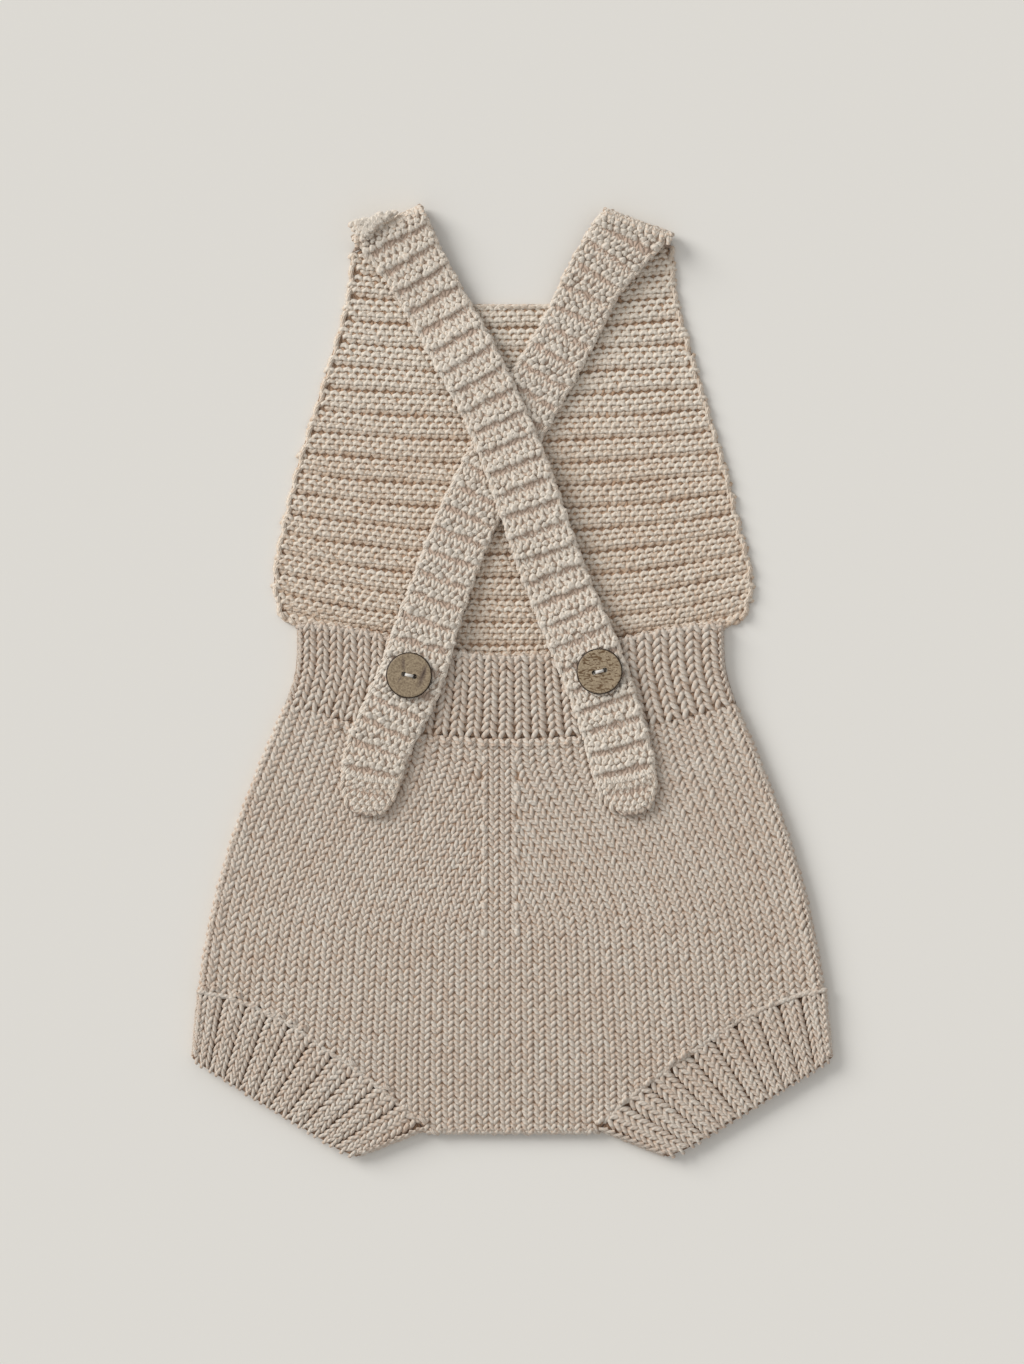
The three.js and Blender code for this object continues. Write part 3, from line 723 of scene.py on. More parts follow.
# Loops along a line of places, each with the way it faces; ragged ones lie less evenly.
def addRun(loops, line, spacing, span, tone, ragged=0.0):
    carried = 0.0
    for (a, facingA), (b, facingB) in zip(line, line[1:]):
        step = b - a
        at = carried
        while at < step.length:
            share = at / step.length
            facing = facingA.lerp(facingB, share).normalized()
            aside = step.normalized().cross(facing)
            place = a.lerp(b, share) + facing * dice.gauss(0, 0.05 + 0.25 * ragged)
            place = place + aside * dice.gauss(0, 0.6) * ragged
            growing = step.normalized() + aside * dice.gauss(0, 0.7) * ragged
            swell = 1 + dice.uniform(-0.25, 0.25) * ragged
            addLoop(loops, chain, place, facing, growing, tuple(c * swell for c in span), tone)
            at += spacing
        carried = at - step.length


def crotchLine():
    line = []
    for k in range(13):
        x = mix(-shorts["crotchHalf"] + 1, shorts["crotchHalf"] - 1, k / 12)
        line.append((Vector((x, shorts["crotchY"] + 1.5, 4.1)), toward(0, -0.8, 0.6)))
    return line


makeShorts()


def makeFrontShorts():
    loops = newLoops()
    addSideWales(loops, *shorts["sideWales"], -1.0)
    stitches = knit("front_shorts_side_stitches", loops, shortsSizes, outerYarn, 5)
    cloth = panelShell("front_shorts_cloth", shortsTop, shortsBottom, 24, 32)
    finishPiece(cloth, stitches, "front_shorts")


makeFrontShorts()

waistband = {
    "ribs": 28,
    "crowding": 0.114,
    "topMiddle": 11.3,
    "topSide": 25.2,
    "bottomMiddle": -24.0,
    "bottomSide": -9.5,
    "rows": 11,
    "sideWales": (24, -9),
    "frontWales": (20, -9),
    "frontLeft": -90.8,
    "frontRight": 89.6,
    "flat": (196, 36),
    "area": 6900,
    "frontFlat": (196, 33),
    "frontArea": 6100,
}
waistSizes = dict(shortsSizes, **{"Bump width": 3.6, "Bump height": 0.9})


def bandTop(share):
    return mix(waistband["topMiddle"], waistband["topSide"], smooth(abs(2 * share - 1)))


def bandBottom(share):
    return mix(waistband["bottomMiddle"], waistband["bottomSide"], (2 * share - 1) ** 2)


def ribShare(phase):
    k, p = waistband["crowding"], phase / waistband["ribs"]
    return ((1 + k) - math.sqrt((1 + k) ** 2 - 4 * k * p)) / (2 * k)


def makeWaistband():
    surface = cadSurface("back_waistband")
    loops = newLoops()

    def placeOf(phase, down):
        share = clamp01(ribShare(phase))
        y = mix(bandTop(share), bandBottom(share), down)
        left, right = edgesAt(bodySides, y)
        return mix(left + body["foldRadius"], right - body["foldRadius"], share), y

    rows = waistband["rows"]
    for rib in range(waistband["ribs"]):
        pitch = placeOf(rib + 1, 0.5)[0] - placeOf(rib, 0.5)[0]
        for row in range(rows):
            x, y = placeOf(rib + 0.5, (row + 0.45) / rows)
            upX, upY = placeOf(rib + 0.5, (row - 0.55) / rows)
            tall = math.hypot(upX - x, upY - y)
            along = toward(upX - x, upY - y, 0)
            spot = layOn(surface, x, y)
            if spot and not underStrap(x, y):
                addStitch(loops, spot[0], up, along, pitch * 0.8, tall, size=1.1, sink=0.9)
            x, y = placeOf(rib, (row + 0.2) / rows)
            spot = layOn(surface, x, y)
            if spot and not underStrap(x, y):
                # sunken purl bars in the grooves between ribs, painted darker as shade
                place = spot[0] - Vector((0, 0, 0.95))
                addLoop(loops, bump, place, up, along, (0.6, 0.8, 0.7), 0.3)
    addSideWales(loops, *waistband["sideWales"], 1.0)
    edge = []
    for k in range(41):
        share = k / 40
        y = bandTop(share) - 0.9
        left, right = edgesAt(bodySides, y)
        edge.append((Vector((mix(left + 2, right - 2, share), y, 4.6)), toward(0, 0.5, 0.85)))
    addRun(loops, edge, 3.4, (1.0, 0.9, 1.0), 0.5)
    stitches = knit("back_waistband_stitches", loops, waistSizes, outerYarn, 11)
    cloth = panelShell("back_waistband_cloth", bandTop, bandBottom, 8, 112, surface)
    finishPiece(cloth, stitches, "back_waistband")

    loops = newLoops()
    addSideWales(loops, *waistband["frontWales"], -1.0)
    stitches = knit("front_waistband_side_stitches", loops, waistSizes, outerYarn, 12)

    def frontTop(share):
        return bibSeamY(mix(waistband["frontLeft"], waistband["frontRight"], share)) - body["seamGap"]

    cloth = panelShell("front_waistband_cloth", frontTop, bandBottom, 6, 28)
    finishPiece(cloth, stitches, "front_waistband")


bib = {
    "ridges": 20,
    "ridgePitch": 9.87,
    "seam": 6.5,
    "rise": 17.0,
    "keptRise": 3.5,
    "half": 92.0,
    "riseRidges": 12,
    "stitch": bumpPitch,
    "rows": (0.23, 0.505, 0.78),
    "neckY": 164.5,
    "neckHalf": 28.3,
    "seamLeft": -92.5,
    "seamRight": 91.5,
    "inset": 1.7,  # from the side edge to the first loop
    "lastArch": 3.9,  # nearer to the edge than this, an arch has no sunken one beside it
    "sunk": 0.9,
    "tone": 0.62,
    "paintedLightToTop": 0.28,  # and this much lighter towards the shoulders: painted light
    "paleFrom": 90,
    "paleOver": 50,
    "flat": (210, 194),
    "area": 30500,
}
bibSizes = dict(
    shortsSizes,
    **{"Yarn radius": 1.24, "Bump width": 3.7, "Bump height": 2.1, "Dip": 1.2, "Tip": 0.4, "Wobble": 0.09},
)


def bibSeamY(x):
    return bib["seam"] + bib["rise"] * (x / bib["half"]) ** 2


# y of a ridge line of the bib at x.
def bibRowY(ridge, x):
    y = bib["seam"] + ridge * bib["ridgePitch"]
    rise = mix(bib["keptRise"], bib["rise"], clamp01(1 - ridge / bib["riseRidges"]) ** 1.5)
    for _ in range(2):
        left, right = edgesAt(bibSides, y)
        flat = mix(bib["seamLeft"], bib["seamRight"], (x - left) / (right - left))
        y = bib["seam"] + ridge * bib["ridgePitch"] + rise * (flat / bib["half"]) ** 2
    return y


def makeBib():
    surface = cadSurface("front_bib")
    loops = newLoops()
    count = int(110 / bib["stitch"])
    for ridge in range(bib["ridges"]):
        for number, within in enumerate(bib["rows"]):
            shift = (ridge + number) % 2 / 2 + dice.uniform(-0.12, 0.12)
            for k in range(-count, count + 1):
                x = (k + shift) * bib["stitch"] + dice.gauss(0, 0.1)
                level = ridge + within
                y = bibRowY(level, x) + 0.3 * math.sin(x / 9 + ridge * 1.7)
                left, right = edgesAt(bibSides, y)
                if not left + bib["inset"] < x < right - bib["inset"] or underStrap(x, y):
                    continue
                spot = layHalfUpright(surface, x, y)
                if spot is None:
                    continue
                slope = (bibRowY(level, x + 2) - bibRowY(level, x - 2)) / 4
                place, facing = spot
                along = toward(-slope, 1, 0)
                across = along.cross(facing).normalized()
                # painted light: the loops are coloured lighter towards the shoulders
                tone = bib["tone"] + bib["paintedLightToTop"] * smooth(clamp01((y - bib["paleFrom"]) / bib["paleOver"]))
                isLast = x > right - bib["lastArch"]
                addPurl(loops, place, facing, along, across, bib["stitch"], bib["sunk"], tone, last=isLast)

    # the edge swells a little at each ridge
    def edgePlace(side, y):
        turn = ((y - bib["seam"]) / bib["ridgePitch"]) * 2 * math.pi
        x = edgesAt(bibSides, y)[0 if side < 0 else 1]
        return Vector((x + side * (0.5 * math.sin(turn - 0.8) - 1.35), y, 1.5 + 0.25 * math.sin(turn)))

    y = bib["seam"] + 20
    while y < 200:
        for side in (-1, 1):
            place = edgePlace(side, y)
            if heightAt(surface, place.x - side * 1.5, y) is None:
                continue
            growing = (edgePlace(side, y + 1.2) - edgePlace(side, y - 1.2)) * -side
            facing = toward(side * 0.5, 0, 0.86)
            addLoop(loops, chain, place, facing, growing, (1.1, 0.9, 1.0), 0.55)
        y += bib["ridgePitch"] / 4
    neck = []
    for k in range(15):
        x = mix(-bib["neckHalf"] - 0.5, bib["neckHalf"] + 0.5, k / 14)
        neck.append((Vector((x, bib["neckY"] - 1.1, 1.8)), toward(0, 0.5, 0.85)))
    addRun(loops, neck, 3.4, (0.95, 0.95, 0.95), 0.6, ragged=0.2)
    stitches = knit("front_bib_stitches", loops, bibSizes, innerYarn, 21)

    outer, inner = [], []
    lines = bib["ridges"] * 5
    columns = 48
    top = [heightOfBib(surface, mix(-1, 1, i / columns)) for i in range(columns + 1)]
    for j in range(lines + 1):
        above, below = [], []
        for i in range(columns + 1):
            share = i / columns
            y = mix(bibSeamY(mix(bib["seamLeft"], bib["seamRight"], share)), top[i], j / lines)
            left, right = edgesAt(bibSides, y)
            x = mix(left + 0.9, right - 0.9, share)
            z = heightAt(surface, x, y)
            z = 1.3 if z is None else max(z - body["sink"], 0.6)
            above.append((x, y, z))
            below.append((x, y, 0.0))
        outer.append(above)
        inner.append(below)
    cloth = shellBetween("front_bib_cloth", outer, inner, shadedInnerBacking)
    finishPiece(cloth, stitches, "front_bib")


# The bib's top edge: the neck in the middle and the shoulder tabs at the sides.
def heightOfBib(surface, across):
    x = across * 71
    y = 204.0
    while heightAt(surface, x, y) is None and y > 150:
        y -= 0.25
    return y


makeWaistband()
makeBib()

cuff = {
    "ribs": 10,
    "edgeShares": (0, 0.08, 0.5, 0.9, 1),  # along the open edge, from the side fold to the crotch
    "edgeX": (139.9, 134.5, 106.0, 76.5, 66.5),
    "edgeY": (-163.0, -167.3, -185.4, -203.1, -207.0),
    "row": 3.35,
    "radius": 2.8,
    "ribsFrom": 0.026,
    "ribsOver": 0.948,
    "columns": (0.285, 0.715),
    "foldEnds": (-1.35, -0.9, -0.45, 0.0, 0.45, 0.9, 1.35),  # steps round a fold, in radians
    "shellDown": 0.975,  # the shell stops short of the hem's loops
    "flat": (220, 35),
    "area": 6600,
}
cuffSizes = dict(shortsSizes, **{"Chain length": 5.0})


def makeCuff(side, name):
    surface = cadSurface(name)
    loops = newLoops()

    def placeOf(share, down):
        seamX = mix(shorts["cuffSide"], shorts["crotchHalf"] + 0.6, share)
        seam = Vector((side * seamX, float(np.interp(seamX, seamOut, seamY)) - body["seamGap"], 0))
        edgeX, edgeY = [float(np.interp(share, cuff["edgeShares"], cuff[key])) for key in ("edgeX", "edgeY")]
        return seam.lerp(Vector((side * edgeX, edgeY, 0)), down)

    def shareOf(rib):
        return cuff["ribsFrom"] + rib / cuff["ribs"] * cuff["ribsOver"]

    for rib in range(cuff["ribs"]):
        for column in cuff["columns"]:
            share = shareOf(rib + column)
            top, bottom = placeOf(share, 0), placeOf(share, 1)
            rows = max(2, round((bottom - top).length / cuff["row"]))
            tall = (bottom - top).length / rows
            along = (top - bottom).normalized()
            for row in range(rows):
                down = (row + 0.45) / (rows + 0.3)
                at = top.lerp(bottom, down)
                beside = (placeOf(share + 0.02, down) - placeOf(share - 0.02, down)) / 0.04 / cuff["ribs"]
                wide = (beside - along * beside.dot(along)).length * 0.42
                spot = layHalfUpright(surface, at.x, at.y)
                if spot is None:
                    continue
                place, facing = spot
                direction = (along - facing * along.dot(facing)).normalized()
                addStitch(loops, place, facing, direction, wide, tall, size=1.12, sink=0.85)
    for share, out in ((0.0, 1.0), (1.0, -1.0)):  # the wales on the two folds
        top, bottom = placeOf(share, 0), placeOf(share, 1)
        rows = max(3, round((bottom - top).length / cuff["row"]))
        along = (top - bottom).normalized()
        away = Vector((along.y, -along.x, 0)) * side * out
        away = away if away.x * side * out > 0 else -away
        for low, z in ((0.45, 4.0), (-0.45, 1.7)):
            facing = (away + up * low).normalized()
            for row in range(rows):
                at = top.lerp(bottom, (row + 0.45) / (rows + 0.5)) - away * 1.6
                addStitch(loops, Vector((at.x, at.y, z)), facing, along, 3.5, cuff["row"], size=1.2)
    hem, seam = [], []
    for k in range(31):
        at = placeOf(0.035 + 0.93 * k / 30, 0.94)
        z = (heightAt(surface, at.x, at.y) or 5.0) - 1.5
        hem.append((Vector((at.x, at.y, z)), toward(side * 0.25, -0.45, 0.8)))
        at = placeOf(0.025 + 0.945 * k / 30, 0.0)
        seam.append((Vector((at.x, at.y + 0.7, 5.3 - 0.5 * (k > 26))), up))
    addRun(loops, hem, 1.9, (1.0, 0.8, 0.9), 0.45)
    addRun(loops, seam, 2.3, (1.05, 0.8, 1.0), 0.56, ragged=0.3)
    for rib in range(1, cuff["ribs"]):  # a lump where each rib starts
        at = placeOf(shareOf(rib + 0.3), 0.0)
        growing = Vector((dice.uniform(-1, 1), 1, 0))
        addLoop(loops, chain, Vector((at.x, at.y + 1.7, 5.0)), up, growing, (1.1, 0.7, 1.0), 0.62)
    stitches = knit(name + "_stitches", loops, cuffSizes, outerYarn, 31 if side < 0 else 32)

    outer, inner = [], []
    for j in range(9):
        down = j / 8 * cuff["shellDown"]
        length = (placeOf(1, down) - placeOf(0, down)).length
        outward = (placeOf(1, down) - placeOf(0, down)).normalized()
        # radius of the folds, height of the lower cloth, drop below the stitches, lowest the upper cloth lies
        for grid, radius, floor, drop, lowest in ((outer, 1.6, 0.0, 0.0, 0.0), (inner, 0.8, 1.0, 0.9, 3.2)):
            line = []

            def turnRound(share, way, turns):
                for turn in turns:
                    at = placeOf(share, down) + outward * way * radius * math.cos(turn)
                    z = floor if turn < -1.3 else body["foldHeight"] + radius * math.sin(turn)
                    line.append((at.x, at.y, z))

            for step in range(1, 80):
                at = placeOf(mix(cuff["radius"], length - cuff["radius"], step / 80) / length, down)
                z = (heightAt(surface, at.x, at.y) or 5.0) - body["sink"]
                line.append((at.x, at.y, max(z - drop, lowest)))
            turnRound(1 - cuff["radius"] / length, 1, reversed(cuff["foldEnds"]))
            for step in range(5, 0, -1):
                at = placeOf(step / 6, down)
                line.append((at.x, at.y, floor))
            turnRound(cuff["radius"] / length, -1, cuff["foldEnds"])
            grid.append(line)
    cloth = shellBetween(name + "_cloth", outer, inner, shadedCuffBacking, ringed=True)
    finishPiece(cloth, stitches, name)


makeCuff(-1, "left_leg_cuff")
makeCuff(1, "right_leg_cuff")

strap = {
    "ridgePitch": 9.87,
    "wall": 2.6,
    "foldRadius": 3.1,
    "foldTurns": (38, 64, 90, 116, 142, 166),  # degrees, from facing down to facing up
    "lowerLength": 7.2,
    "blend": 24.0,
    "stitches": 8,
    "across": 27.8,
    # rows within a ridge; the hidden one fills in behind the lumps and is painted darker as shade
    "rows": {"knit": (0.07, 0.35), "hidden": (0.66,), "purl": (0.745,)},
    "rowTall": 2.8,
    "lumps": 3.15,  # from one lump of a purl row to the next
    "lumpLines": ((-0.8, 1.15), (1.35, 0.95)),  # how far along, and how big
    "tip": 15.5,
    "garterRow": 2.55,
    "garterStitch": 3.5,
    "edgeStep": 3.1,
    "flatWide": 30,
    "flatMore": 20,  # for the fold and what lies under it
    "areaWide": 28.0,
    "areaMore": 16,
}
strapSizes = dict(shortsSizes, **{"Yarn radius": 1.3, "Bump width": 1.25, "Bump height": 1.4})
strapSizes.update({"Chain length": 4.0, "Tip": 0.55, "Wobble": 0.16})
# The middle line from shoulder fold to tip: x, y, half the width, height of the underside.
leftStrap = (
    (-54.8, 200.6, 17.2, 6.2),
    (-42.6, 180.7, 14.4, 4.8),
    (-30.9, 160.5, 13.8, 3.8),
    (-19.4, 139.6, 14.0, 5.9),
    (-9.6, 120.9, 13.6, 6.2),
    (3.0, 90.5, 14.0, 6.2),
    (12.3, 63.5, 14.2, 6.2),
    (21.4, 38.5, 14.2, 5.1),
    (26.8, 25.8, 14.5, 6.2),
    (32.3, 13.2, 14.8, 6.3),
    (38.5, -3, 14.5, 6.3),
    (43.9, -20, 14.3, 6.3),
    (47.4, -33.2, 14.2, 6.2),
    (50.0, -44.5, 13.4, 6.15),
    (51.6, -52.5, 10.2, 6.1),
    (52.4, -57.6, 4.6, 6.1),
)
rightStrap = (
    (55.2, 200.5, 16.6, 6.2),
    (37.0, 177.0, 13.4, 4.4),
    (26.2, 155.3, 12.9, 3.3),
    (14.1, 133.5, 13.3, 3.2),
    (-3.0, 103.5, 13.6, 3.2),
    (-18.6, 72.7, 13.3, 3.2),
    (-26.4, 53.9, 13.2, 3.5),
    (-32.6, 36.5, 13.4, 5.0),
    (-36.5, 25.7, 13.8, 6.2),
    (-40.9, 10.9, 14.4, 6.3),
    (-44.8, 0, 14.6, 6.3),
    (-52.9, -17, 14.2, 6.3),
    (-58.4, -29.2, 14.0, 6.2),
    (-61.6, -43.2, 13.2, 6.15),
    (-63.6, -52.2, 10.4, 6.1),
    (-64.6, -57.6, 4.8, 6.1),
)


# Points of a smooth line through the rows, every millimetre or so: x, y, half width, underside.
def smoothLine(rows):
    rows = np.array(rows)
    padded = np.vstack([2 * rows[0] - rows[1], rows, 2 * rows[-1] - rows[-2]])
    made = []
    for i in range(1, len(padded) - 2):
        before, a, b, after = padded[i - 1 : i + 3]
        gaps = [math.sqrt(math.dist(p[:2], q[:2])) for p, q in ((before, a), (a, b), (b, after))]
        slopeA = ((a - before) / gaps[0] - (b - before) / (gaps[0] + gaps[1]) + (b - a) / gaps[1]) * gaps[1]
        slopeB = ((b - a) / gaps[1] - (after - a) / (gaps[1] + gaps[2]) + (after - b) / gaps[2]) * gaps[1]
        for t in np.linspace(0, 1, 24, endpoint=False):
            start, startSlope, end, endSlope = curveWeights(t)
            made.append(start * a + startSlope * slopeA + end * b + endSlope * slopeB)
    made.append(rows[-1])
    made = np.array(made)
    lengths = np.concatenate([[0], np.cumsum(np.hypot(*np.diff(made[:, :2], axis=0).T))])
    return made, lengths


# The left strap's outer edge curls over at the shoulder: corners of the curled flap.
shoulderCurl = ((-69.2, 198.4), (-51.6, 203.4), (-64.3, 192.4))


# Loose lumps in a soft dome over the curled flap, painted lighter as a highlight.
def addCurl(loops):
    (ax, ay), (bx, by), (cx, cy) = shoulderCurl
    along = toward(bx - ax, by - ay, 0)
    across = Vector((-along.y, along.x, 0))
    steps = 10
    for i in range(steps + 1):
        for j in range(steps + 1 - i):
            b, c = i / steps, j / steps
            a = 1 - b - c
            x, y = a * ax + b * bx + c * cx, a * ay + b * by + c * cy
            swell = smooth(clamp01(4 * min(a + 0.12, b + 0.12, c + 0.2)))
            addLump(loops, Vector((x, y, 8.3 + 2.9 * swell)), up, across, along, 0.92, 1.05)


def makeStrap(name, rows, foldDegrees, seed):
    surface = cadSurface(name)
    line, lengths = smoothLine(rows)
    length = lengths[-1]
    fold = math.radians(foldDegrees)
    foldAcross = Vector((math.cos(fold), math.sin(fold), 0))
    foldOut = Vector((-foldAcross.y, foldAcross.x, 0))
    start = Vector((rows[0][0], rows[0][1], 0))
    half = rows[0][2]
    bend = strap["foldRadius"] + strap["wall"] / 2

    # the strap's section at a length from the fold: middle, across, towards the shoulder, half width, underside
    def sectionAt(s):
        x, y, wide, under = [float(np.interp(s, lengths, line[:, c])) for c in range(4)]
        ahead = [float(np.interp(min(s + 2, length), lengths, line[:, c])) for c in (0, 1)]
        behind = [float(np.interp(max(s - 2, 0), lengths, line[:, c])) for c in (0, 1)]
        tangent = toward(ahead[0] - behind[0], ahead[1] - behind[1], 0)
        square = Vector((-tangent.y, tangent.x, 0))
        across = foldAcross.lerp(square, smooth(clamp01(s / strap["blend"]))).normalized()
        return Vector((x, y, 0)), across, -tangent, wide, under

    # a place on the outside of the shoulder fold; turn 0 faces down, 180 degrees faces up
    def foldSpot(turn, out):
        facing = foldOut * math.sin(turn) - up * math.cos(turn)
        place = start - foldOut * bend + up * bend + foldAcross * out + facing * bend
        return place, facing, foldOut * -math.cos(turn) - up * math.sin(turn)

    loops = newLoops()
    ridges = round(length / strap["ridgePitch"])
    courses = [
        ((r + within) * length / ridges, kind)
        for kind, places in strap["rows"].items()
        for within in places
        for r in range(ridges)
    ]
    courses = [(s, kind) for s, kind in courses if 5 < s < length - strap["tip"]]
    for k in range(int(strap["tip"] / strap["garterRow"])):
        courses.append((length - 3.4 - k * strap["garterRow"], "garter"))
    spacings = {"purl": strap["lumps"], "garter": strap["garterStitch"]}
    for s, kind in sorted(courses):
        bow = 2.2 if kind == "garter" else dice.uniform(-0.5, 0.5)
        middle, across, along, wide, under = sectionAt(s)
        spacing = spacings.get(kind, strap["across"] / strap["stitches"])
        count = max(2, round(2 * wide / spacing))
        pitch = 2 * wide / count
        for shift, size in strap["lumpLines"] if kind == "purl" else ((0, 1),):
            for k in range(count):
                share = (k + 0.5 + 0.23 * shift) / count * 2 - 1
                reach = wide - (1.7 if kind == "garter" else 0.9)
                at = middle + across * share * reach + along * (shift + bow * (share * share - 0.4))
                spot = layHalfUpright(surface, at.x, at.y)
                if spot is None:
                    continue
                place, facing = spot
                if kind == "garter":
                    addPurl(loops, place, facing, along, across, pitch, 0.45, 0.8)
                elif kind == "purl":
                    # the raised lumps are painted lighter as a highlight
                    addLump(loops, place - facing * (0.9 - size), facing, along, across, 0.88, size)
                else:
                    # hidden rows are painted darker as shade
                    sink, tone = (1.6, 0.6) if kind == "hidden" else (0.75, 0.78)
                    addStitch(loops, place, facing, along, pitch * 1.05, strap["rowTall"], sink=sink, tone=tone)
    for turn in strap["foldTurns"]:
        count = strap["stitches"] + 1
        for k in range(count):
            out = ((k + 0.5) / count * 2 - 1) * (half - 1.2)
            place, facing, along = foldSpot(math.radians(turn), out)
            addStitch(loops, place, facing, along, 2 * half / count, 3.0, sink=0.75, tone=0.74)
    if name == "left_strap":
        addCurl(loops)
    s = 6.0
    while s < length - 4:
        middle, across, along, wide, under = sectionAt(s)
        phase = (s / (length / ridges)) % 1
        for side in (-1, 1):
            at = middle + across * side * (wide - 1.2 + 0.5 * math.sin(phase * 6.283 - 3.6))
            facing = (across * side * 0.6 + up * 0.8).normalized()
            place = Vector((at.x, at.y, under + 1.3))
            addLoop(loops, chain, place, facing, along * -side, (0.9, 1.0, 0.9), 0.7)
        s += strap["edgeStep"]
    tip, across, along, wide, under = sectionAt(length - 1.8)
    for k in range(-1, 2):
        place = tip + across * k * 3.2 + up * (under + 1.2)
        addLoop(loops, chain, place, (up - along * 0.6).normalized(), across, (1.2, 1.0, 1.1), 0.5)
    stitches = knit(name + "_stitches", loops, strapSizes, strapYarn, seed)

    places = (-1, -0.8, -0.4, 0, 0.4, 0.8, 1)
    outer, inner = [], []

    def addSection(middle, across, facing, wide, lift, drop):
        top, low = [], []
        for place in places:
            edge = abs(place) == 1
            at = middle + across * place * (wide - 0.9)
            top.append(at + facing * (lift * 0.2 if edge else lift))
            low.append(at - facing * drop)
        outer.append(top)
        inner.append(low)

    base = start + Vector((0, -strap["lowerLength"], 1.3))
    addSection(base, foldAcross, -up, half, 1.2, 0.6)
    for k in range(9):
        place, facing, along = foldSpot(k * math.pi / 8, 0)
        addSection(place - facing * 1.5, foldAcross, facing, half, 0.75, 0.7)
    steps = int(length / 2.4)
    for k in range(3, steps + 1):
        middle, across, along, wide, under = sectionAt(k * length / steps)
        addSection(middle + up * (under + 1.0), across, up, wide, 1.0, 0.8)
    cloth = shellBetween(name + "_cloth", outer, inner, shadedStrapBacking)
    finishPiece(cloth, stitches, name)


makeStrap("left_strap", leftStrap, 24.6, 51)
makeStrap("right_strap", rightStrap, -19.9, 52)
print("cloth and stitches are made")

button = {"radius": 10.0, "thick": 2.3, "hole": 1.0, "holeOut": 2.35, "height": 9.2, "dish": 0.2}
buttonPlaces = {
    "left_button": {
        "x": -44.6,
        "y": 2.9,
        "turn": -12.5,
        "tones": ((0.20, 0.145, 0.092), (0.395, 0.31, 0.205)),
        "relief": 0.08,
        # middle, half width, half length and turn of each
        "streaks": (
            (-2.4, 4.9, 1.2, 4.8, 4.0),
            (5.7, -0.6, 2.2, 8.0, -19.0),
            (6.4, 1.2, 0.7, 4.5, -21.0),
            (-3.9, -1.6, 0.6, 3.2, -35.0),
        ),
    },
    "right_button": {
        "x": 37.9,
        "y": 4.6,
        "turn": 13.8,
        "tones": ((0.27, 0.20, 0.13), (0.43, 0.34, 0.225)),
        "relief": 0.28,
        "streaks": (),
    },
}
# Streaks and dashes are the shell's own marks; the holes and the edge are painted shade.
buttonMarksAndPaintedShade = {
    "streak": (0.52, 0.49, 0.54),
    "dash": (0.42, 0.33, 0.25),
    "hole": (0.06, 0.05, 0.05),
    "rimShade": (0.11, 0.085, 0.075),
}


